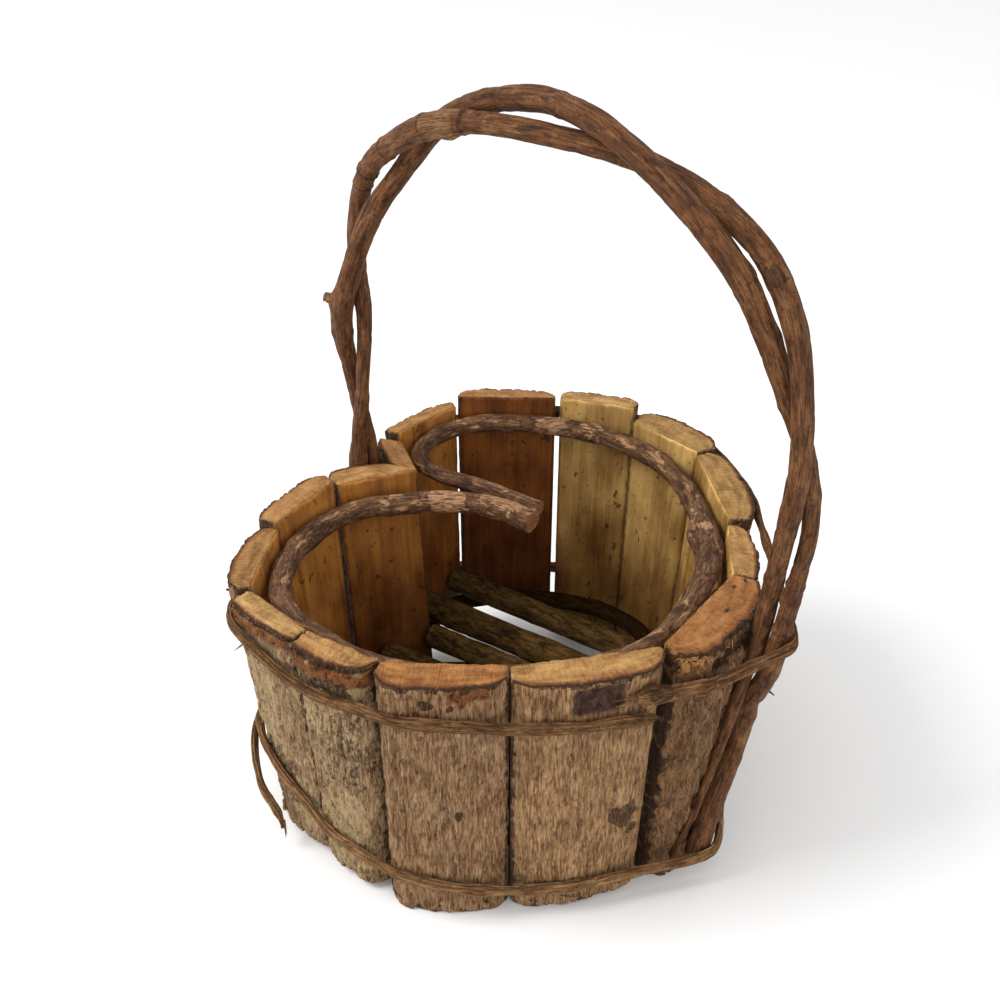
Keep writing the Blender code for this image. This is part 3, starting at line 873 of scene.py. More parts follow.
@dataclass
class Slab:
    """One split half log, flat inside, barked outside, sawn across at both ends."""

    number: int
    bark: SlabBark
    split: SplitWood
    sawn: SawnWood
    marks: tuple[Mark, ...] = ()
    spots: tuple[Spot, ...] = ()
    furrow_depth: float = 0.45 * MM
    swell_depth: float = 0.55 * MM
    plate_depth: float = 0.30 * MM
    split_depth: float = 0.16 * MM
    warp_depth: float = 0.25 * MM
    saw_depth: float = 0.35 * MM
    saw_reach: float = 2.5 * MM
    edge_round: float = 1.3 * MM
    chip_depth: float = 2.3 * MM
    seam_fill: float = 0.36 * MM
    top_crust: float = 0.8
    foot_crust: float = 0.7
    # Strength of the painted shade along the seams and in the inner joints
    seam_shade: float = 0.85
    joint_shade: float = 0.8
    top_reach: Span = (0.8 * MM, 2.6 * MM)
    foot_reach: Span = (3.0 * MM, 12.0 * MM)
    seam_reach: Span = (0.1 * MM, 1.2 * MM)
    joint_reach: Span = (0.0, 0.8 * MM)
    bark_start: float = -0.92
    mesh_step: Point = (0.50 * MM, 0.62 * MM, 0.85 * MM)
    number_shift: Point = (0.113, 0.071, 0.237)
    furrows: Grain = Grain((1.5, 7.0, 12.0), 3)
    swells: Grain = Grain((13.0, 20.0, 34.0), 2, 7.0)
    plates: Grain = Grain((3.4, 9.0, 8.0), 3, 2.0)
    scuffs: Grain = Grain((3.2, 9.0, 3.5), 4, 11.0)
    tears: Grain = Grain((2.6, 1000.0, 1000.0), 3, 5.0)
    fibres: Grain = Grain((1.1, 9.0, 40.0), 3, 3.0)
    warp: Grain = Grain((18.0, 20.0, 60.0), 1, 8.0)
    saw_cuts: Grain = Grain((9.0, 2.2, 40.0), 3, 1.0)
    wear: Grain = Grain((3.0, 3.0, 5.0), 2, 4.0)
    piece: bpy.types.Object = field(init=False)

    @property
    def node(self) -> str:
        """Name of the slab's CAD node."""
        return f"slab_{self.number:02d}"

    def block(self, sizes: np.ndarray) -> bpy.types.Mesh:
        """A cube cut into an even grid, its faces sorted into the slab's zones.

        Args:
            sizes: Width, thickness and height that the grid is cut for.

        Returns:
            The mesh, from -1 to 1 along each axis.
        """
        block = bmesh.new()
        bmesh.ops.create_cube(block, size=2.0)
        for axis, (size, step) in enumerate(zip(sizes, self.mesh_step)):
            edges = [edge for edge in block.edges
                     if abs(edge.verts[0].co[axis] - edge.verts[1].co[axis]) > 1.0]
            bmesh.ops.subdivide_edges(block, edges=edges, cuts=max(2, round(size / step)),
                                      use_grid_fill=True)
        for face in block.faces:
            middle = face.calc_center_median()
            axis = max(range(3), key=lambda index: abs(middle[index]))
            zone = Zone.SAWN if axis == 2 else Zone.BARK
            if axis == 1 and middle.y < 0 or axis == 0 and middle.y < self.bark_start:
                zone = Zone.SPLIT
            face.material_index = zone.value
        # Width, thickness and height run left-handed on the wall, which turns the block inside out
        bmesh.ops.reverse_faces(block, faces=block.faces)
        return as_mesh(block, self.node)

    def worn_edges(self, grid: SlabGrid) -> np.ndarray:
        """How far each point draws in along the three axes, so that edges are rounded and worn.

        Args:
            grid: Points of the mesh.

        Returns:
            One row for each point, in metres along width, thickness and height.
        """
        from_low = grid.share * grid.sizes
        from_high = (1.0 - grid.share) * grid.sizes
        near = np.minimum(from_low, from_high)
        wear = self.edge_round * (1.0 + 0.7 * self.wear.at(grid.place))
        shift = np.zeros_like(grid.share)
        for axis in range(3):
            others = [other for other in range(3) if other != axis]
            gap = near[:, others].min(axis=1)
            pull = 0.32 * wear * (1.0 - np.clip(gap / wear, 0.0, 1.0)) ** 2
            shift[:, axis] = np.where(from_low[:, axis] < WELD, pull, 0.0)
            shift[:, axis] -= np.where(from_high[:, axis] < WELD, pull, 0.0)
        return shift

    def relief(self, grid: SlabGrid) -> tuple[np.ndarray, np.ndarray]:
        """Height of the bark over the plain slab, and how deep its furrows are.

        Args:
            grid: Points of the mesh.

        Returns:
            The height in metres, and the depth of the furrows as a share.
        """
        deep = soft_step(0.55, 1.0, 1.0 - 2.2 * np.abs(self.furrows.at(grid.place)))
        plates = self.plates.at(grid.place)
        plates = soft_step(-0.10, 0.06, plates) + 0.5 * soft_step(0.22, 0.34, plates) - 0.75
        swells = self.swells.at(grid.place) * self.swell_depth
        return swells + plates * self.plate_depth - deep * self.furrow_depth, deep

    def crust_and_seam_shade(self, grid: SlabGrid) -> np.ndarray:
        """Dark bark rim under the top, dark patches at the foot, and painted shade in the seams and
        joints.

        Args:
            grid: Points of the mesh.

        Returns:
            Strength of the dark rim, the foot patches and the painted shade, between 0 and 1.
        """
        scuffed = self.scuffs.at(grid.place)
        to_top = grid.to_top
        crust_and_seam_shade = self.top_crust * (1.0 - soft_step(*self.top_reach, to_top + scuffed * 3.0 * MM))
        crust_and_seam_shade += (self.foot_crust * (1.0 - soft_step(*self.foot_reach, grid.to_foot))
                  * soft_step(0.05, 0.35, scuffed))
        crust_and_seam_shade *= soft_step(0.90, 0.97, grid.depth)
        # Painted shade along the seams between slabs, near each side of the bark
        seam = 1.0 - soft_step(*self.seam_reach, grid.to_side + scuffed * 1.6 * MM)
        seam *= soft_step(0.05, 0.3, grid.depth) * soft_step(0.0, 1.5 * MM, to_top)
        # Painted shade in the inner joints, near each side of the split face
        joint = 1.0 - soft_step(*self.joint_reach, grid.to_side + scuffed * 0.5 * MM)
        joint *= (1.0 - soft_step(0.0, 0.1, grid.depth)) * soft_step(1.0 * MM, 5.0 * MM, to_top)
        crust_and_seam_shade = np.maximum(crust_and_seam_shade, np.maximum(seam * self.seam_shade, joint * self.joint_shade))
        return np.clip(crust_and_seam_shade, 0.0, 1.0)

    def traces(self, grid: SlabGrid) -> tuple[dict[Trace, np.ndarray], np.ndarray]:
        """Numbers that marks, spots, the dark rim, the foot patches and the painted seam shade paint,
        and the depth that the marks take away.

        Args:
            grid: Points of the mesh.

        Returns:
            The numbers by their trace, and the depth in metres.
        """
        painted = {trace: np.zeros_like(grid.across) for trace in Trace}
        taken = np.zeros_like(grid.across)
        for mark in self.marks:
            cover = mark.cover(grid.across, grid.height, grid.place)
            painted[mark.trace] = np.maximum(painted[mark.trace], cover)
            taken += mark.depth * cover
        # The pit number also carries the painted shade of the seams and joints
        pits_and_seam_shade = [painted[Trace.PIT], self.crust_and_seam_shade(grid)]
        pits_and_seam_shade += [spot.cover(grid.share, grid.sizes) for spot in self.spots]
        painted[Trace.PIT] = np.max(pits_and_seam_shade, axis=0)
        return painted, taken

    def carve(self, form: SlabForm, grid: SlabGrid, relief: np.ndarray,
              wear: np.ndarray) -> np.ndarray:
        """Places of the points on the finished slab.

        Args:
            form: Sections of the CAD slab.
            grid: Points of the mesh.
            relief: Height of the bark over the plain slab.
            wear: How far each point draws in along the three axes.

        Returns:
            The places, in the basket's frame.
        """
        across, depth, height = grid.share.T
        ones = np.ones_like(across)
        outward = form.at(across, ones, height) - form.at(across, 0.0 * ones, height)
        outward = unit(outward * np.array((1.0, 1.0, 0.0)))
        along = unit(form.at(ones, depth, height) - form.at(0.0 * ones, depth, height))
        split = self.fibres.at(grid.place) * self.split_depth
        split += self.warp.at(grid.place) * self.warp_depth
        push = relief * depth ** 4 + split * (1.0 - depth) ** 4 + wear[:, 1]
        ends = 1.0 - soft_step(0.0, self.saw_reach, grid.to_top)
        ends -= 1.0 - soft_step(0.0, self.saw_reach, grid.to_foot)
        chips = soft_step(0.12, 0.75, self.tears.at(grid.place * np.array((1.0, 0.0, 0.0))))
        chips *= soft_step(0.80, 1.0, depth) * self.chip_depth
        lift = (self.saw_cuts.at(grid.place) * self.saw_depth - chips) * ends + wear[:, 2]
        sides = np.where(across < WELD, -1.0, 0.0) + np.where(across > 1.0 - WELD, 1.0, 0.0)
        widen = wear[:, 0] + sides * self.seam_fill
        placed = form.at(across, depth, height)
        return placed + outward * push[:, None] + UP * lift[:, None] + along * widen[:, None]

    def build(self) -> None:
        """Shapes the block onto the CAD slab and carves bark, split face and saw cuts."""
        form = SlabForm.read(self.node)
        sizes = form.sizes
        mesh = self.block(sizes)
        share = (points_of(mesh) + 1.0) / 2.0
        grid = SlabGrid(share, sizes, share * sizes + self.number * np.array(self.number_shift))
        relief, deep = self.relief(grid)
        painted, taken = self.traces(grid)
        wear = self.worn_edges(grid)
        mesh.vertices.foreach_set("co", self.carve(form, grid, relief - taken, wear).ravel())
        # edge: rounded edges near the top, which the split wood lightens as wear and as a painted
        # highlight
        edge = np.clip(np.abs(wear).max(axis=1) / (0.25 * self.edge_round), 0.0, 1.0)
        edge *= 1.0 - soft_step(0.5 * MM, 6.0 * MM, grid.to_top)
        paint(mesh, grid.place, {"deep": deep, "depth": grid.depth, "height": grid.height,
                                 "edge": edge,
                                 **{trace.value: value for trace, value in painted.items()}})
        self.piece = put_out(f"{self.node}_dressed", mesh)
        log.info("%s: %d faces", self.piece.name, len(mesh.polygons))

    def dress(self) -> None:
        """Gives each zone its wood and hands the piece to the frame."""
        for finish in (self.bark, self.split, self.sawn):
            self.piece.data.materials.append(wood(finish))
        hand_over(self.piece, "split_wood", self.node)


# Twigs, vines and hoops


@dataclass(frozen=True)
class Knot:
    """A swelling, stub or worn place on a long piece, set by a point near its surface."""

    at: Point
    length: float
    rise: float
    round_it: bool = False
    trace: Trace | None = None
    spread: float = 1.0
    strength: float = 1.0


@dataclass
class Course:
    """Centre line of a long piece, with its radius and a frame that turns with it."""

    centres: np.ndarray
    radii: np.ndarray
    side: np.ndarray
    rise: np.ndarray
    lengths: np.ndarray

    @classmethod
    def read(cls, node: str, sides: int, step: float, start: Point) -> "Course":
        """Reads the course off a CAD node.

        Args:
            node: Name of the CAD node.
            sides: How many sides its sections have.
            step: Distance between the new sections.
            start: Point near the end where the course starts.

        Returns:
            The course, evenly spaced and smoothed.
        """
        rings = cls.rings(node, sides)
        centres = np.array([ring.mean(axis=0) for ring in rings])
        radii = np.array([np.median(np.linalg.norm(ring - middle, axis=1))
                          for ring, middle in zip(rings, centres)])
        if np.linalg.norm(centres[0] - start) > np.linalg.norm(centres[-1] - start):
            centres = centres[::-1]
            radii = radii[::-1]
        run = np.concatenate(([0.0], np.cumsum(np.linalg.norm(np.diff(centres, axis=0), axis=1))))
        lengths = np.linspace(0.0, run[-1], max(8, round(run[-1] / step)))
        columns = [np.interp(lengths, run, column) for column in (*centres.T, radii)]
        line = np.array(columns).T
        for _ in range(SMOOTH_PASSES):
            line[1:-1] = 0.25 * line[:-2] + 0.5 * line[1:-1] + 0.25 * line[2:]
        along = unit(np.gradient(line[:, :3], axis=0))
        side = np.empty_like(along)
        first = np.cross(along[0], UP)
        side[0] = unit(first if np.linalg.norm(first) > 0.1 else np.cross(along[0], (0, 1, 0)))
        for index in range(1, len(side)):
            turned = side[index - 1] - along[index] * side[index - 1].dot(along[index])
            side[index] = unit(turned)
        return cls(line[:, :3], line[:, 3], side, np.cross(along, side), lengths)

    @staticmethod
    def rings(node: str, sides: int) -> list[np.ndarray]:
        """Sections of a long CAD node, found by walking from one flat end to the other.

        Args:
            node: Name of the CAD node.
            sides: How many sides it has.

        Returns:
            The points of each section, in order.
        """
        copy = merged_copy(node)
        copy.faces.ensure_lookup_table()
        ring = flat_end(copy, sides)
        seen = set(ring)
        sections = [ring]
        while ring:
            ring = {edge.other_vert(vert) for vert in ring for edge in vert.link_edges} - seen
            seen |= ring
            if len(ring) >= sides:
                sections.append(ring)
        placed = [np.array([tuple(vert.co) for vert in section]) for section in sections]
        copy.free()
        return placed

    def nearest(self, point: Point) -> int:
        """Number of the section nearest to a point."""
        return int(np.linalg.norm(self.centres - np.array(point), axis=1).argmin())


def flat_end(copy: bmesh.types.BMesh, sides: int) -> set[bmesh.types.BMVert]:
    """Corners of one flat end of a long mesh.

    Args:
        copy: Merged mesh of a long piece.
        sides: How many corners the end has.

    Returns:
        The corners of the end that is found first.
    """
    done = set()
    for face in copy.faces:
        if face in done:
            continue
        group = {face}
        front = [face]
        while front:
            here = front.pop()
            for edge in here.edges:
                for other in edge.link_faces:
                    if other not in group and other.normal.dot(face.normal) > 0.9999:
                        group.add(other)
                        front.append(other)
        done |= group
        corners = {vert for part in group for vert in part.verts}
        if len(group) != sides - 2 or len(corners) != sides:
            continue
        middle = sum((vert.co for vert in corners), Vector()) / sides
        reach = [(vert.co - middle).length for vert in corners]
        if max(reach) < 2.6 * min(reach):
            return corners
    raise ValueError("the piece has no flat end")


@dataclass
class Rod:
    """A round twig or vine, swept along its course with nodes, furrows and sawn ends."""

    name: str
    node: str
    slot: str
    finish: VineBark
    sides: int
    start: Point = (0.0, 0.0, 0.0)
    knots: tuple[Knot, ...] = ()
    node_gap: float = 0.0
    node_rise: float = 0.35 * MM
    node_width: float = 2.6 * MM
    groove_width: float = 0.7 * MM
    furrow_depth: float = 0.26 * MM
    bend_depth: float = 0.38 * MM
    slim: float = 0.97
    around: int = 30
    step: float = 0.9 * MM
    taper: Span = (0.0, 0.0)
    name_shift: Point = (0.31, 0.17, 0.53)
    furrows: Grain = Grain((1.6, 1.6, 16.0), 3, 3.0)
    bends: Grain = Grain((5.0, 5.0, 14.0), 2, 6.0)
    ragged: Grain = Grain((2.2, 2.2, 3.5), 4, 9.0)
    piece: bpy.types.Object = field(init=False)

    def sleeve(self, columns: int) -> bpy.types.Mesh:
        """A flat grid, ready to be wrapped round the course.

        Args:
            columns: Cells along the rod.

        Returns:
            The grid, from -1 to 1.
        """
        sheet = bmesh.new()
        bmesh.ops.create_grid(sheet, x_segments=columns, y_segments=self.around, size=1.0)
        return as_mesh(sheet, self.name)

    def section(self, course: Course, index: np.ndarray, turn: np.ndarray,
                size: np.ndarray) -> np.ndarray:
        """Points round a section of the rod.

        Args:
            course: The rod's course.
            index: Section of each point.
            turn: Angle of each point round the rod.
            size: Distance of each point from the centre line.

        Returns:
            The points in the basket's frame.
        """
        across = course.side[index] * (np.cos(turn) * size)[:, None]
        return course.centres[index] + across + course.rise[index] * (np.sin(turn) * size)[:, None]

    def relief(self, place: np.ndarray, turn: np.ndarray) -> tuple[np.ndarray, np.ndarray]:
        """Height of the bark over the plain rod, and how deep its furrows are.

        Args:
            place: Straightened place of each point.
            turn: Angle of each point, for the kinds of rod that need it.

        Returns:
            The height in metres, and the depth of the furrows as a share.
        """
        deep = soft_step(0.5, 1.0, 1.0 - 2.0 * np.abs(self.furrows.at(place)))
        return self.bends.at(place) * self.bend_depth - deep * self.furrow_depth, deep

    def node_rings(self, run: np.ndarray) -> tuple[np.ndarray, np.ndarray]:
        """Swollen rings where leaves once grew, and the groove in each.

        Args:
            run: Distance of each point along the rod.

        Returns:
            The rings' height, and the grooves' strength.
        """
        wave = run / self.node_gap + 0.35 * np.sin(run / self.node_gap * 2.3)
        from_node = np.abs(wave - np.rint(wave)) * self.node_gap
        ring = np.exp(-(from_node / self.node_width) ** 2)
        groove = np.exp(-(from_node / self.groove_width) ** 2)
        return (ring - 0.5 * groove) * self.node_rise, groove

    def build(self) -> None:
        """Wraps the sleeve round the course and carves its bark."""
        course = Course.read(self.node, self.sides, self.step, self.start)
        last = len(course.lengths) - 1
        mesh = self.sleeve(last + 2 * CAP_STEPS)
        flat = (points_of(mesh) + 1.0) / 2.0
        column = np.rint(flat[:, 0] * (last + 2 * CAP_STEPS)).astype(int) - CAP_STEPS
        turn = np.rint(flat[:, 1] * self.around) % self.around * (2.0 * math.pi / self.around)
        index = np.clip(column, 0, last)
        beyond = np.maximum(-column, column - last).clip(0, CAP_STEPS) / CAP_STEPS
        shrink = np.sqrt(np.clip(1.0 - beyond ** 2, 0.0, 1.0))
        radius = course.radii[index] * self.slim
        run = course.lengths[index]
        place = np.stack((np.cos(turn) * radius, np.sin(turn) * radius, run), axis=1)
        place += np.array(self.name_shift) * (len(self.name) + sum(map(ord, self.node)) % 17)
        rise, deep = self.relief(place, turn)
        painted = {trace: np.zeros_like(run) for trace in Trace}
        if self.node_gap:
            rings, groove = self.node_rings(run)
            rise += rings
            painted[Trace.PIT] = 0.55 * groove
        ragged = self.ragged.at(place)
        for knot in self.knots:
            rise += self.knot_rise(knot, course, index, turn, ragged, painted)
        ends = soft_step(0.0, 1.0, beyond)
        for end, length in zip((run, course.lengths[-1] - run), self.taper):
            if length:
                radius = radius * (0.15 + 0.85 * soft_step(0.0, length, end))
        size = (radius + rise) * shrink
        placed = self.section(course, index, turn, size)
        mesh.vertices.foreach_set("co", placed.ravel())
        cut = np.where(beyond > 0.0, 1.0, 0.0)
        paint(mesh, place, {"deep": deep * (1.0 - ends), "cut": cut, "depth": shrink,
                            **{trace.value: value for trace, value in painted.items()}})
        self.close(mesh)
        self.piece = put_out(self.name, mesh)
        log.info("%s: %d faces along %.0f mm", self.name, len(mesh.polygons),
                 course.lengths[-1] / MM)

    def knot_rise(self, knot: Knot, course: Course, index: np.ndarray, turn: np.ndarray,
                  ragged: np.ndarray, painted: dict[Trace, np.ndarray]) -> np.ndarray:
        """Height that a knot adds, and the mark that it leaves.

        Args:
            knot: The knot.
            course: Course of the rod.
            index: Section of each point.
            turn: Angle of each point.
            ragged: Noise that breaks up the edge of the mark.
            painted: Numbers painted on the rod, changed in place.

        Returns:
            The added height of each point.
        """
        middle = course.nearest(knot.at)
        out = np.array(knot.at) - course.centres[middle]
        facing = math.atan2(out.dot(course.rise[middle]), out.dot(course.side[middle]))
        along = (course.lengths[index] - course.lengths[middle]) / knot.length
        aside = np.zeros_like(along)
        if not knot.round_it:
            gap = np.angle(np.exp(1j * (turn - facing)))
            aside = gap * course.radii[index] / (knot.length * knot.spread)
        reach = along ** 2 + aside ** 2
        if knot.trace:
            cover = knot.strength * (1.0 - soft_step(0.65, 1.15, np.sqrt(reach) + 0.5 * ragged))
            painted[knot.trace] = np.maximum(painted[knot.trace], cover)
        return knot.rise * np.exp(-reach)

    @staticmethod
    def close(mesh: bpy.types.Mesh) -> None:
        """Joins the sleeve's seam and the points of its ends, and turns its faces outwards.

        Args:
            mesh: Mesh of the wrapped sleeve, changed in place.
        """
        joined = bmesh.new()
        joined.from_mesh(mesh)
        bmesh.ops.remove_doubles(joined, verts=joined.verts, dist=WELD)
        bmesh.ops.recalc_face_normals(joined, faces=joined.faces)
        joined.to_mesh(mesh)
        joined.free()

    def dress(self) -> None:
        """Gives the rod its bark and hands it to the frame."""
        self.piece.data.materials.append(wood(self.finish))
        hand_over(self.piece, self.slot, self.node)


@dataclass
class Hoop(Rod):
    """A split vine tied round the slabs: a flat, grooved strap that frays at its ends."""

    width: float = 5.4 * MM
    thickness: float = 2.9 * MM
    grooves: tuple[float, ...] = (0.4, 1.3, 2.1, 3.9, 5.2)
    groove_depth: float = 0.65 * MM
    width_swing: Grain = Grain((1000.0, 1000.0, 11.0), 3, 2.0)
    groove_wander: Grain = Grain((1000.0, 1000.0, 22.0), 2, 2.0)

    def section(self, course: Course, index: np.ndarray, turn: np.ndarray,
                size: np.ndarray) -> np.ndarray:
        """Points round the strap, flat against the slabs.

        Args:
            course: The strap's course.
            index: Section of each point.
            turn: Angle of each point.
            size: Distance of each point from the centre line.

        Returns:
            The points in the basket's frame.
        """
        along = unit(np.gradient(course.centres, axis=0))
        out = unit(np.cross(along, UP))
        up = np.cross(out, along)
        share = size / (course.radii[index] * self.slim)
        run = course.lengths[index][:, None] * np.array((0.0, 0.0, 1.0))
        share = share * (1.0 + 0.20 * self.width_swing.at(run))
        wide = up[index] * (np.sin(turn) * share * self.width / 2)[:, None]
        thick = out[index] * (np.cos(turn) * share * self.thickness / 2)[:, None]
        return course.centres[index] + wide + thick

    def relief(self, place: np.ndarray, turn: np.ndarray) -> tuple[np.ndarray, np.ndarray]:
        """Lengthwise grooves between the strap's fibres.

        Args:
            place: Straightened place of each point.
            turn: Angle of each point.

        Returns:
            The height in metres, and the depth of the grooves as a share.
        """
        wander = 0.35 * self.groove_wander.at(place * np.array((0.0, 0.0, 1.0)))
        deep = np.zeros_like(turn)
        for groove in self.grooves:
            gap = np.abs(np.angle(np.exp(1j * (turn - groove - wander))))
            deep = np.maximum(deep, np.exp(-(gap / 0.16) ** 2))
        rise, furrows = super().relief(place, turn)
        return rise - deep * self.groove_depth, np.maximum(0.8 * deep, furrows)


@dataclass
class Splinter:
    """A thin pointed chip, stub or nail tip that stands out of a piece."""

    name: str
    slot: str
    finish: VineBark
    foot: Point
    heading: Point
    length: float
    radius: float
    tip: float = 0.12
    bend: float = 0.15
    rings: int = 7
    around: int = 8
    lumps: Point = (0.7, 0.7, 0.25)
    piece: bpy.types.Object = field(init=False)

    def build(self) -> None:
        """Stretches a cone from its foot along its heading, with a slight bend."""
        cone = bmesh.new()
        bmesh.ops.create_cone(cone, cap_ends=True, segments=self.around, radius1=1.0,
                              radius2=self.tip, depth=1.0)
        sides = [edge for edge in cone.edges
                 if abs(edge.verts[0].co.z - edge.verts[1].co.z) > 0.5]
        bmesh.ops.subdivide_edges(cone, edges=sides, cuts=self.rings)
        bmesh.ops.triangulate(cone, faces=[face for face in cone.faces if len(face.verts) > 4])
        mesh = as_mesh(cone, self.name)
        flat = points_of(mesh)
        along = unit(np.array(self.heading, dtype=float))
        side = unit(np.cross(along, SLANT))
        rise = np.cross(along, side)
        share = flat[:, 2] + 0.5
        seed = np.array(self.foot) * 7.0
        rough = 1.0 + 0.25 * grainy(flat + seed, self.lumps, 2)
        drift = self.bend * self.length * share ** 2
        placed = np.array(self.foot) + along * (share * self.length)[:, None]
        placed += side * (flat[:, 0] * self.radius * rough + drift)[:, None]
        placed += rise * (flat[:, 1] * self.radius * rough)[:, None]
        mesh.vertices.foreach_set("co", placed.ravel())
        place = flat * np.array((self.radius, self.radius, self.length)) + seed
        paint(mesh, place, {"deep": 0.0 * share, "pale": 0.5 + 0.0 * share,
                            "cut": np.where(share > 0.999, 1.0, 0.0)})
        self.piece = put_out(self.name, mesh)
        log.info("%s: %d faces", self.name, len(mesh.polygons))

    def dress(self) -> None:
        """Gives the chip its finish and hands it to the frame."""
        self.piece.data.materials.append(wood(self.finish))
        hand_over(self.piece, self.slot)


Piece = Slab | Rod | Splinter


# Studio


@dataclass(frozen=True)
class Lamp:
    """A soft square light that faces the basket."""

    name: str
    place: Point
    size: float
    power: float

    def hang(self) -> None:
        """Adds the light to the scene, turned towards the basket."""
        data = bpy.data.lights.new(self.name, "AREA")
        data.size = self.size
        data.energy = self.power
        lamp = put_out(self.name, data)
        lamp.location = self.place
        lamp.rotation_mode = "QUATERNION"
        lamp.rotation_quaternion = (Vector(AIM) - Vector(self.place)).to_track_quat("-Z", "Y")


@dataclass
class Studio:
    """Pale floor, soft light and a camera at the photograph's angle."""

    eye: Point = (0.23178, -0.34301, 0.40908)
    azimuth: float = math.radians(36.5)
    elevation: float = math.radians(34.0)
    lens: float = 50.4
    floor_size: float = 6.0
    floor_colour: Rgb = (0.88, 0.88, 0.88)
    floor_grain: float = 4.0
    sky_strength: float = 0.92
    lamps: tuple[Lamp, ...] = (Lamp("key", (-0.75, -0.75, 1.15), 0.7, 17.0),
                               Lamp("fill", (1.3, -0.5, 0.8), 1.2, 6.0))

    def build(self) -> None:
        """Sets up camera, floor, lights and sky."""
        self.place_camera()
        self.lay_floor()
        for lamp in self.lamps:
            lamp.hang()
        self.light_sky()
        bpy.context.scene.view_settings.view_transform = "Standard"

    def light_sky(self) -> None:
        """An even white sky."""
        world = bpy.data.worlds.new("soft_white")
        world.use_nodes = True
        sky = world.node_tree.nodes["Background"]
        sky.inputs["Color"].default_value = (1.0, 1.0, 1.0, 1.0)
        sky.inputs["Strength"].default_value = self.sky_strength
        bpy.context.scene.world = world

    def place_camera(self) -> None:
        """A camera that looks down on the basket from its right front."""
        data = bpy.data.cameras.new("camera")
        data.sensor_width = 36.0
        data.lens = self.lens
        camera = put_out("camera", data)
        level = math.cos(self.elevation)
        back = Vector((math.sin(self.azimuth) * level, -math.cos(self.azimuth) * level,
                       math.sin(self.elevation)))
        camera.location = self.eye
        camera.rotation_mode = "QUATERNION"
        camera.rotation_quaternion = (-back).to_track_quat("-Z", "Y")
        bpy.context.scene.camera = camera

    def lay_floor(self) -> None:
        """A wide pale floor under the basket."""
        sheet = bmesh.new()
        bmesh.ops.create_grid(sheet, x_segments=1, y_segments=1, size=self.floor_size)
        floor = put_out("floor", as_mesh(sheet, "floor"))
        desk = Desk("pale_floor")
        shade = desk.add("ShaderNodeTexNoise")
        desk.plug(desk.add("ShaderNodeTexCoord").outputs["Object"], shade.inputs["Vector"])
        shade.inputs["Scale"].default_value = self.floor_grain
        colour = desk.mix(shade.outputs["Fac"], self.floor_colour, scaled(self.floor_colour, 0.98))
        desk.plug(colour, desk.shader.inputs["Base Color"])
        desk.shader.inputs["Roughness"].default_value = 0.9
        desk.shader.inputs["Specular IOR Level"].default_value = 0.1
        floor.data.materials.append(desk.material)


# The basket's sub-assemblies


@dataclass
class SubAssembly:
    """Pieces that are built and dressed together."""

    pieces: list[Piece] = field(init=False, default_factory=list)

    def plan(self) -> list[Piece]:
        """The pieces that this part of the basket is made of."""
        raise NotImplementedError

    def build(self) -> None:
        """Shapes every piece of the plan."""
        self.pieces = self.plan()
        for piece in self.pieces:
            piece.build()

    def dress(self) -> None:
        """Gives every piece its finish."""
        for piece in self.pieces:
            piece.dress()


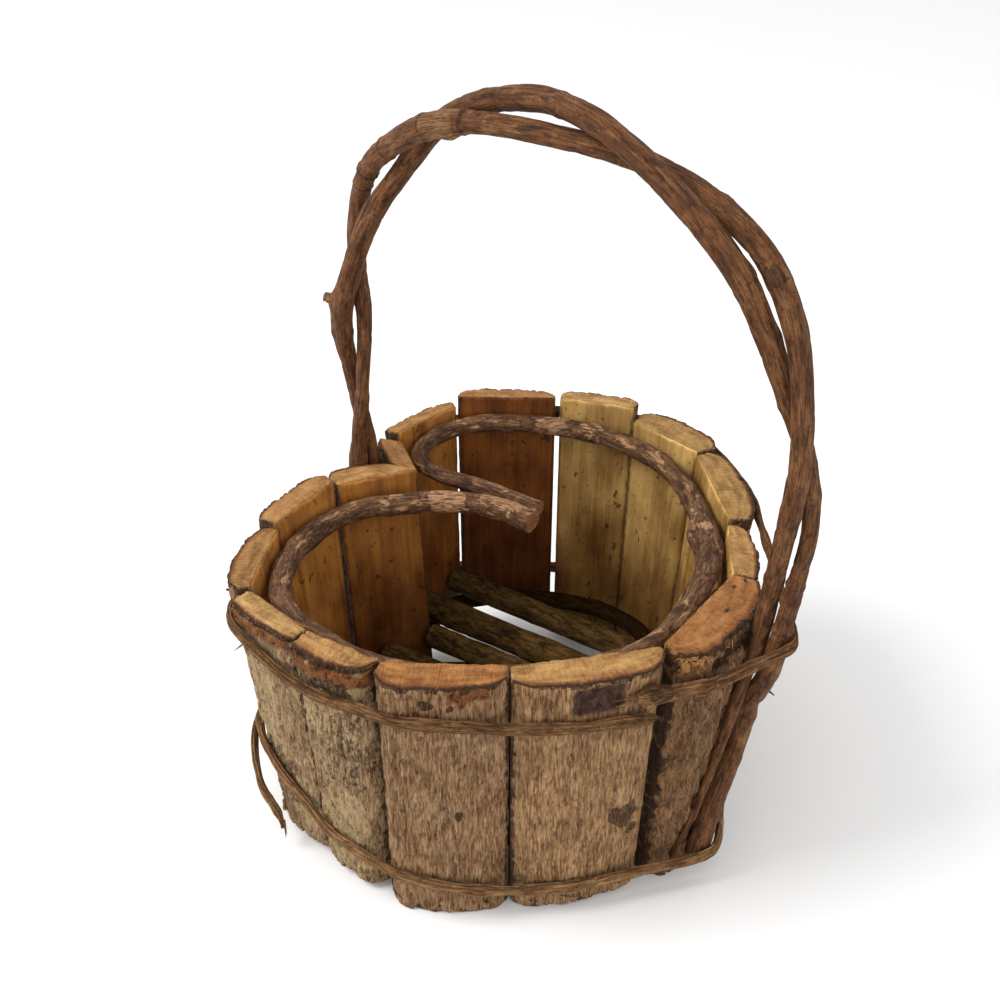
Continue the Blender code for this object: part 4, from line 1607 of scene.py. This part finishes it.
@dataclass
class SlabWall(SubAssembly):
    """The fifteen slabs, from the cleft round the front lobe, the tip and the rear lobe."""

    torn_fibres: int = 22
    torn_length: float = 2.6 * MM
    torn_radius: float = 0.24 * MM
    torn_swing: float = 1.3 * MM
    shred_length: float = 6.5 * MM
    shred_radius: float = 0.28 * MM
    torn_gap: float = 0.010
    scale_depth: float = 0.95 * MM
    scale_swell: float = 0.70 * MM
    peel_depth: float = 0.45 * MM
    peel_chips: float = 2.9 * MM
    peel_cuts: float = 0.8 * MM
    shreds: tuple[Point, ...] = ((0.30, 0.865, 0.5), (0.45, 0.850, 0.2), (0.62, 0.870, -0.3),
                                 (0.50, 0.835, 0.0))

    def marks(self) -> dict[int, tuple[Mark, ...]]:
        """Scars, peeled places and pale patches of each slab's bark, by its number.

        Returns:
            The marks of each slab that has any.
        """
        peeled = (Mark(Trace.BARE, 0.50, 0.950, 0.90, 0.032, -0.5 * MM, 0.5),
                  # Painted shade in the carved slot under the lifted top
                  Mark(Trace.PIT, 0.45, 0.984, 0.75, 0.009, 1.3 * MM, 0.2),
                  Mark(Trace.PIT, 0.50, 0.900, 0.26, 0.035, 0.4 * MM, 0.8, 0.62),
                  Mark(Trace.PALE, 0.86, 0.912, 0.13, 0.034, -0.3 * MM))
        return {
            4: (Mark(Trace.BARE, 0.5, 0.955, 0.8, 0.018, -0.3 * MM),
                # Painted shade in the carved slot under the lifted top
                Mark(Trace.PIT, 0.5, 0.980, 0.7, 0.007, 1.1 * MM, 0.2),
                Mark(Trace.PALE, 0.30, 0.62, 0.32, 0.28, strength=0.56),
                Mark(Trace.PALE, 0.70, 0.20, 0.35, 0.13, ragged=0.3, strength=0.62),
                Mark(Trace.PIT, 0.35, 0.30, 0.45, 0.14, strength=0.50)),
            5: (*peeled, Mark(Trace.PALE, 0.45, 0.22, 0.50, 0.20, strength=0.56),
                Mark(Trace.PALE, 0.2, 0.75, 0.4, 0.12, strength=0.56),
                Mark(Trace.PALE, 0.35, 0.50, 0.3, 0.14, strength=0.44),
                Mark(Trace.PIT, 0.66, 0.60, 0.36, 0.17, strength=0.47),
                Mark(Trace.PIT, 0.30, 0.80, 0.50, 0.05, strength=0.36)),
            6: (Mark(Trace.BARE, 0.66, 0.972, 0.16, 0.035, 0.7 * MM, 0.7),
                Mark(Trace.PIT, 0.62, 0.465, 0.035, 0.026, 1.0 * MM, 0.3),
                Mark(Trace.PIT, 0.44, 0.928, 0.09, 0.018, 0.7 * MM, 1.2)),
            7: (Mark(Trace.BARE, 0.505, 0.925, 0.165, 0.056, 0.7 * MM, 0.12, boxy=True),
                Mark(Trace.PIT, 0.75, 0.39, 0.09, 0.055, 0.7 * MM, 0.9),
                Mark(Trace.PIT, 0.80, 0.30, 0.05, 0.025, 0.5 * MM, 0.9)),
            8: (Mark(Trace.PIT, 0.45, 0.37, 0.05, 0.045, 0.6 * MM, 0.7),
                Mark(Trace.BARE, 0.02, 0.960, 0.13, 0.050, 0.8 * MM, 0.7),
                Mark(Trace.PIT, 0.40, 0.930, 0.22, 0.028, 0.9 * MM, 0.9, 0.8),
                Mark(Trace.PIT, 0.62, 0.90, 0.06, 0.020, 0.6 * MM)),
        }

    def slabs(self) -> list[Slab]:
        """The slabs with their finishes and marks.

        Returns:
            The slabs, in order round the wall.
        """
        plain = SlabBark("bark_grey_brown")
        warm = SlabBark("bark_tan", dark=(0.048, 0.023, 0.010), middle=(0.245, 0.127, 0.053),
                        light=(0.580, 0.350, 0.172), inner=(0.095, 0.045, 0.030))
        scaly = SlabBark("bark_scaly_brown", dark=(0.020, 0.009, 0.005),
                         middle=(0.130, 0.062, 0.025), light=(0.330, 0.185, 0.090),
                         inner=(0.430, 0.200, 0.062))
        mossy = SlabBark("bark_lichen", middle=(0.205, 0.118, 0.053), light=(0.540, 0.370, 0.200),
                         inner=(0.250, 0.088, 0.025))
        gold = SplitWood("split_golden")
        pale = SplitWood("split_pale", dark=(0.210, 0.100, 0.022), light=(0.580, 0.360, 0.115))
        # low: tint of the painted shade towards the bottom of these inner faces
        amber = SplitWood("split_amber", dark=(0.150, 0.048, 0.007), light=(0.490, 0.200, 0.036),
                          low=(0.40, 0.27, 0.15))
        russet = SplitWood("split_russet", dark=(0.130, 0.040, 0.006),
                           light=(0.420, 0.165, 0.028), low=(0.36, 0.24, 0.13))
        umber = SplitWood("split_umber", dark=(0.066, 0.016, 0.002), light=(0.250, 0.078, 0.010))
        tan = SawnWood("sawn_tan")
        orange = SawnWood("sawn_orange", dark=(0.165, 0.056, 0.011), light=(0.440, 0.195, 0.058))
        seared = SawnWood("sawn_seared", dark=(0.200, 0.080, 0.020), light=(0.470, 0.250, 0.085))
        straw = SawnWood("sawn_straw", dark=(0.190, 0.088, 0.022), light=(0.450, 0.270, 0.092))
        dim = SawnWood("sawn_dim", dark=(0.150, 0.062, 0.014), light=(0.390, 0.205, 0.070))
        fresh = SawnWood("sawn_fresh", dark=(0.215, 0.100, 0.026), light=(0.560, 0.345, 0.135))
        finishes = {
            1: (plain, russet, tan), 2: (plain, amber, seared), 3: (plain, amber, dim),
            4: (mossy, amber, fresh), 5: (mossy, amber, tan), 6: (plain, gold, orange),
            7: (warm, gold, tan), 8: (scaly, gold, orange), 9: (plain, gold, tan),
            10: (plain, gold, straw), 11: (plain, pale, straw), 12: (plain, pale, fresh),
            13: (plain, umber, seared), 14: (plain, amber, seared), 15: (plain, amber, seared),
        }
        spots = {8: (Spot(0.85, 0.28, 1.3 * MM), Spot(0.95, 0.50, 1.4 * MM),
                     Spot(0.58, 0.50, 1.5 * MM))}
        marks = self.marks()
        wall = [Slab(number, *woods, marks.get(number, ()), spots.get(number, ()))
                for number, woods in finishes.items()]
        for slab in wall:
            if slab.bark is scaly:
                slab.plate_depth = self.scale_depth
                slab.swell_depth = self.scale_swell
            if slab.bark is mossy:
                slab.plate_depth = self.peel_depth
                slab.chip_depth = self.peel_chips
                slab.saw_depth = self.peel_cuts
        return wall

    def loose_parts(self) -> list[Splinter]:
        """Torn fibres at the tip's corner and shreds of bark on the fifth slab.

        Returns:
            The fibres, then the shreds.
        """
        torn = VineBark("torn_wood", dark=(0.150, 0.050, 0.012), middle=(0.360, 0.150, 0.040),
                        light=(0.520, 0.270, 0.095), worn=(0.560, 0.310, 0.120))
        pieces = []
        tip = SlabForm.read("slab_08")
        for number in range(self.torn_fibres):
            across = self.torn_gap * (number + 3 * max(0, number - 15))
            depth = 0.97 + 0.03 * math.sin(3.0 * number)
            foot = tip.at(np.array([across]), np.array([depth]), np.array([0.984]))[0]
            pieces.append(Splinter(
                f"torn_fibre_{number}", "split_wood", torn, tuple(foot),
                (0.8 * math.sin(7.0 * number), -0.5 + 0.3 * math.cos(5.0 * number),
                 0.5 * math.sin(11.0 * number)),
                self.torn_length + self.torn_swing * math.sin(4.0 * number), self.torn_radius,
                bend=0.12))
        bark = SlabForm.read("slab_05")
        for number, (across, height, lean) in enumerate(self.shreds):
            foot = bark.at(np.array([across]), np.array([1.03]), np.array([height]))[0]
            pieces.append(Splinter(
                f"bark_fibre_{number}", "split_wood", torn, tuple(foot),
                (0.8, -0.55, 0.5 * lean), self.shred_length, self.shred_radius,
                bend=0.25 * lean))
        return pieces

    def plan(self) -> list[Piece]:
        """The slabs and their loose parts."""
        return [*self.slabs(), *self.loose_parts()]


@dataclass
class TwigWork(SubAssembly):
    """The bent rim twig, the twig under the foot and the seven twigs of the floor."""

    floor_twigs: int = 7

    def rim_marks(self) -> tuple[Knot, ...]:
        """Knots and worn places of the rim twig.

        Returns:
            The knots, in the order in which they are laid on.
        """
        dark, pale = Trace.PIT, Trace.PALE
        return (
            Knot((0.0394, 0.0429, 0.1070), 6.5 * MM, 3.0 * MM),
            Knot((0.0404, 0.0441, 0.1099), 2.4 * MM, -0.9 * MM, trace=pale),
            Knot((0.0380, 0.0458, 0.1090), 1.5 * MM, -0.5 * MM, trace=dark),
            Knot((0.0405, 0.0420, 0.1075), 1.5 * MM, -0.5 * MM, trace=dark, strength=0.8),
            Knot((0.0475, 0.0360, 0.1066), 0.8 * MM, -0.4 * MM, True, dark, strength=0.5),
            Knot((0.0495, 0.0335, 0.1066), 0.9 * MM, -0.4 * MM, True, dark, strength=0.5),
            Knot((0.0515, 0.0305, 0.1066), 0.8 * MM, -0.3 * MM, True, dark, strength=0.5),
            Knot((-0.0654, -0.0011, 0.1057), 9 * MM, 0.3 * MM, trace=dark, strength=0.8),
            Knot((-0.0500, 0.0035, 0.1075), 9 * MM, 0.5 * MM, trace=pale),
            Knot((-0.0300, 0.0150, 0.1085), 12 * MM, 0.2 * MM, trace=pale, spread=0.6),
            Knot((-0.0280, 0.0183, 0.1057), 2.2 * MM, 0.8 * MM, trace=dark),
            Knot((-0.0450, 0.0674, 0.1131), 9 * MM, 0.3 * MM, trace=pale, strength=0.55),
            Knot((-0.0316, 0.0765, 0.1132), 7 * MM, 0.3 * MM, trace=pale, strength=0.50),
            Knot((-0.0603, 0.0578, 0.1084), 1.8 * MM, 0.7 * MM, trace=dark),
            Knot((-0.0175, 0.0822, 0.1108), 3.0 * MM, 0.8 * MM, trace=dark),
            Knot((0.0020, 0.0790, 0.1108), 2.0 * MM, 0.6 * MM, trace=dark),
            Knot((0.0529, 0.0251, 0.1108), 4 * MM, 0.8 * MM, trace=dark, strength=0.45),
            Knot((0.0560, 0.0120, 0.1108), 7 * MM, 0.9 * MM, trace=dark, strength=0.4),
            Knot((0.0545, -0.0020, 0.1108), 4 * MM, 0.8 * MM, trace=dark, strength=0.7),
            Knot((-0.0641, -0.0702, 0.1084), 3 * MM, 0.7 * MM, trace=pale, strength=0.7),
            Knot((-0.0760, -0.0420, 0.1084), 11 * MM, 0.7 * MM, trace=dark, strength=0.6),
        )

    def plan(self) -> list[Piece]:
        """The twigs, each swept along its CAD solid.

        Returns:
            The rim twig, the foot twig and the floor twigs.
        """
        rim = VineBark("twig_bark", dark=(0.028, 0.012, 0.006), middle=(0.092, 0.040, 0.017),
                       light=(0.310, 0.165, 0.080), worn=(0.490, 0.270, 0.135),
                       fibre=(0.55, 0.55, 4.0), roughness=0.7, gloss=0.2, patches=0.75)
        floor = VineBark("floor_bark", dark=(0.014, 0.007, 0.002), middle=(0.078, 0.040, 0.010),
                         light=(0.200, 0.120, 0.034), fibre=(1.0, 1.0, 5.0), roughness=0.75,
                         worn=(0.150, 0.085, 0.022), gloss=0.1, patches=0.8)
        # Painted shade: the foot twig's bark is made near black, as it lies in shade under the floor
        foot = VineBark("foot_bark", dark=(0.010, 0.005, 0.002), middle=(0.026, 0.013, 0.004),
                        light=(0.060, 0.034, 0.012), worn=(0.060, 0.034, 0.012),
                        fibre=(1.0, 1.0, 5.0), roughness=0.9, gloss=0.03)
        knots = {1: (Knot((-0.0066, 0.0515, 0.0358), 5 * MM, 0.8 * MM),),
                 2: (Knot((-0.0363, 0.0211, 0.0363), 5 * MM, 1.1 * MM),
                     Knot((-0.0363, 0.0211, 0.0363), 2 * MM, 0.0, trace=Trace.PIT))}
        pieces = [
            Rod("rim_twig_bark", "rim_twig", "twig_bark", rim, 8, knots=self.rim_marks(),
                furrow_depth=0.30 * MM, bend_depth=0.50 * MM, node_gap=90 * MM,
                node_rise=0.4 * MM),
            Rod("foot_twig_bark", "foot_twig", "twig_bark", foot, 8, around=20, step=1.6 * MM),
        ]
        for number in range(1, self.floor_twigs + 1):
            pieces.append(Rod(f"floor_twig_{number}_bark", f"floor_twig_{number}", "floor_wood",
                              floor, 8, knots=knots.get(number, ()), around=28))
        return pieces


@dataclass
class Handle(SubAssembly):
    """Two vines that wind round each other, with a stub and a nail tip."""

    left_foot: Point = (-0.08, 0.0, 0.01)
    crack: float = 0.7 * MM
    bend_cracks: tuple[Point, ...] = ((-0.0818, -0.0011, 0.2274), (-0.0785, -0.0021, 0.2327),
                                      (-0.0814, 0.0037, 0.2370), (-0.0691, -0.0050, 0.2456))

    def plan(self) -> list[Piece]:
        """The inner and the outer vine and their small parts.

        Returns:
            The vines, a stub and the nail tips.
        """
        vine = VineBark("vine_bark")
        iron = VineBark("rusty_nail", dark=(0.010, 0.006, 0.005), middle=(0.026, 0.014, 0.010),
                        light=(0.060, 0.030, 0.018), worn=(0.050, 0.026, 0.016), roughness=0.55)
        inner_marks = (Knot((-0.0397, -0.0015, 0.2563), 4 * MM, 2.3 * MM),
                       Knot((-0.0420, 0.0007, 0.2575), 7 * MM, 0.0, True, Trace.PALE,
                            strength=0.72),
                       Knot((-0.0336, -0.0012, 0.2579), 1.1 * MM, 0.5 * MM, True, Trace.PIT,
                            strength=0.8),
                       Knot((-0.0485, -0.0010, 0.2550), 0.8 * MM, 0.2 * MM, True, Trace.PIT,
                            strength=0.7),
                       Knot((-0.0200, 0.0000, 0.2570), 12 * MM, 0.0, True, Trace.PALE,
                            strength=0.42),
                       *(Knot(place, self.crack, 0.35 * MM, True, Trace.PIT, strength=0.85)
                         for place in self.bend_cracks),
                       Knot((0.0754, 0.0007, 0.2361), 4 * MM, 0.5 * MM, trace=Trace.PIT))
        outer_marks = (Knot((-0.0961, -0.0039, 0.1826), 4 * MM, 1.3 * MM),
                       Knot((0.0956, -0.0007, 0.1332), 0.9 * MM, 0.4 * MM, True, Trace.PIT,
                            strength=0.6),
                       Knot((0.0908, 0.0056, 0.1144), 0.9 * MM, 0.4 * MM, True, Trace.PIT,
                            strength=0.6),
                       Knot((0.0850, 0.0065, 0.0682), 4 * MM, 0.9 * MM),
                       Knot((0.0850, 0.0065, 0.0600), 6 * MM, 0.3 * MM, trace=Trace.PALE,
                            strength=0.55),
                       Knot((0.0881, 0.0085, 0.0808), 1.6 * MM, -0.4 * MM, trace=Trace.PIT),
                       Knot((0.0780, 0.0035, 0.2191), 3 * MM, 0.5 * MM, trace=Trace.PIT))
        return [
            Rod("vine_inner_bark", "handle_vine_inner", "vine_bark", vine, 9, self.left_foot,
                inner_marks, node_gap=46 * MM),
            Rod("vine_outer_bark", "handle_vine_outer", "vine_bark", vine, 9, self.left_foot,
                outer_marks, node_gap=53 * MM),
            Splinter("stub_left_leg", "vine_bark", vine, (-0.0945, -0.0035, 0.1828),
                     (-0.80, -0.30, 0.10), 4.6 * MM, 2.4 * MM, 0.72),
            Splinter("nail_tip_leg", "vine_bark", iron, (0.0872, 0.0080, 0.0815),
                     (0.86, 0.10, -0.42), 3.9 * MM, 0.50 * MM, 0.45, 0.0),
            Splinter("nail_tip_left", "split_vine", iron, (-0.0835, -0.0765, 0.0985),
                     (-0.80, -0.55, 0.10), 4.2 * MM, 0.60 * MM, 0.8, 0.0),
        ]


@dataclass
class Hoops(SubAssembly):
    """The two split vines tied round the wall, with frayed ends and loose strands."""

    strands: int = 6
    strand_radius: float = 0.52 * MM

    def frayed(self, finish: VineBark, end: int, foot: Point, heading: Point) -> list[Splinter]:
        """Loose strands at a torn end of a hoop.

        Args:
            finish: Finish of the hoop.
            end: Number of the end.
            foot: Where the hoop ends.
            heading: Direction of the hoop there.

        Returns:
            The strands.
        """
        pieces = []
        for strand in range(self.strands):
            lean = 0.22 * math.sin(2.3 * strand + end)
            rise = (strand - 0.5 * (self.strands - 1)) * 3.0 * MM / (self.strands - 1)
            pieces.append(Splinter(
                f"frayed_strand_{end}_{strand}", "split_vine", finish,
                (foot[0], foot[1], foot[2] + rise),
                (heading[0] + 0.3 * lean, heading[1], heading[2] + lean),
                (4.2 + 2.1 * math.cos(3.1 * strand + end)) * MM, self.strand_radius,
                bend=0.1 * lean))
        return pieces

    def plan(self) -> list[Piece]:
        """The straps, their strands and one long splinter.

        Returns:
            The straps and their loose parts.
        """
        upper = VineBark("split_vine", dark=(0.028, 0.012, 0.005), middle=(0.112, 0.050, 0.018),
                         light=(0.370, 0.195, 0.078), worn=(0.290, 0.165, 0.070),
                         fibre=(0.32, 0.32, 18.0), roughness=0.8, gloss=0.15, patches=0.6)
        lower = VineBark("split_vine_low", dark=(0.040, 0.018, 0.007),
                         middle=(0.155, 0.075, 0.028), light=(0.480, 0.275, 0.115),
                         worn=(0.330, 0.190, 0.085), fibre=(0.32, 0.32, 18.0), roughness=0.8,
                         gloss=0.15, patches=0.5)
        pieces = [
            Hoop("upper_hoop_strap", "upper_hoop", "split_vine", upper, 7, (0.0656, -0.044, 0.103),
                 (Knot((-0.0846, -0.0775, 0.0971), 1.6 * MM, -0.2 * MM, trace=Trace.PIT),
                  Knot((0.0656, -0.0440, 0.1031), 14 * MM, 0.9 * MM, True),
                  Knot((0.0656, -0.0440, 0.1031), 3 * MM, 0.0, trace=Trace.PIT, strength=0.8),
                  Knot((0.0770, -0.0304, 0.0995), 9 * MM, 0.5 * MM, True),
                  Knot((0.0700, -0.0380, 0.0985), 7 * MM, 0.2 * MM, trace=Trace.PIT,
                       strength=0.85)),
                 around=28, step=1.1 * MM, taper=(3 * MM, 5 * MM)),
            Hoop("lower_hoop_strap", "lower_hoop", "split_vine", lower, 7,
                 (-0.0684, -0.0851, 0.0468),
                 (Knot((0.0818, -0.0006, 0.0168), 4 * MM, 0.3 * MM, trace=Trace.PALE),),
                 around=28, step=1.1 * MM, taper=(4 * MM, 9 * MM)),
            Splinter("stub_loose_strand", "split_vine", lower, (-0.0540, -0.0925, 0.0190),
                     (0.35, -0.25, 0.90), 7.0 * MM, 1.0 * MM, 0.35),
            Splinter("splinter_left_hoop", "split_vine", upper, (-0.0600, -0.0965, 0.0990),
                     (-0.55, -0.55, -0.62), 5.5 * MM, 0.45 * MM),
        ]
        ends = ((upper, (0.0650, -0.0450, 0.1030), (-0.62, -0.78, -0.10)),
                (upper, (0.0785, -0.0290, 0.0990), (0.62, 0.76, 0.10)),
                (lower, (-0.0690, -0.0850, 0.0470), (-0.60, 0.55, 0.60)),
                (lower, (-0.0548, -0.0930, 0.0110), (0.20, -0.15, -1.00)))
        for end, (finish, foot, heading) in enumerate(ends):
            pieces += self.frayed(finish, end, foot, heading)
        return pieces


def main() -> None:
    """Builds the studio and every sub-assembly of the basket."""
    logging.basicConfig(level=logging.INFO, format="%(message)s")
    Studio().build()
    for part in (SlabWall(), TwigWork(), Handle(), Hoops()):
        part.build()
        part.dress()
        log.info("%s: %d pieces", type(part).__name__, len(part.pieces))
    bpy.context.view_layer.update()


if __name__ == "__main__":
    main()
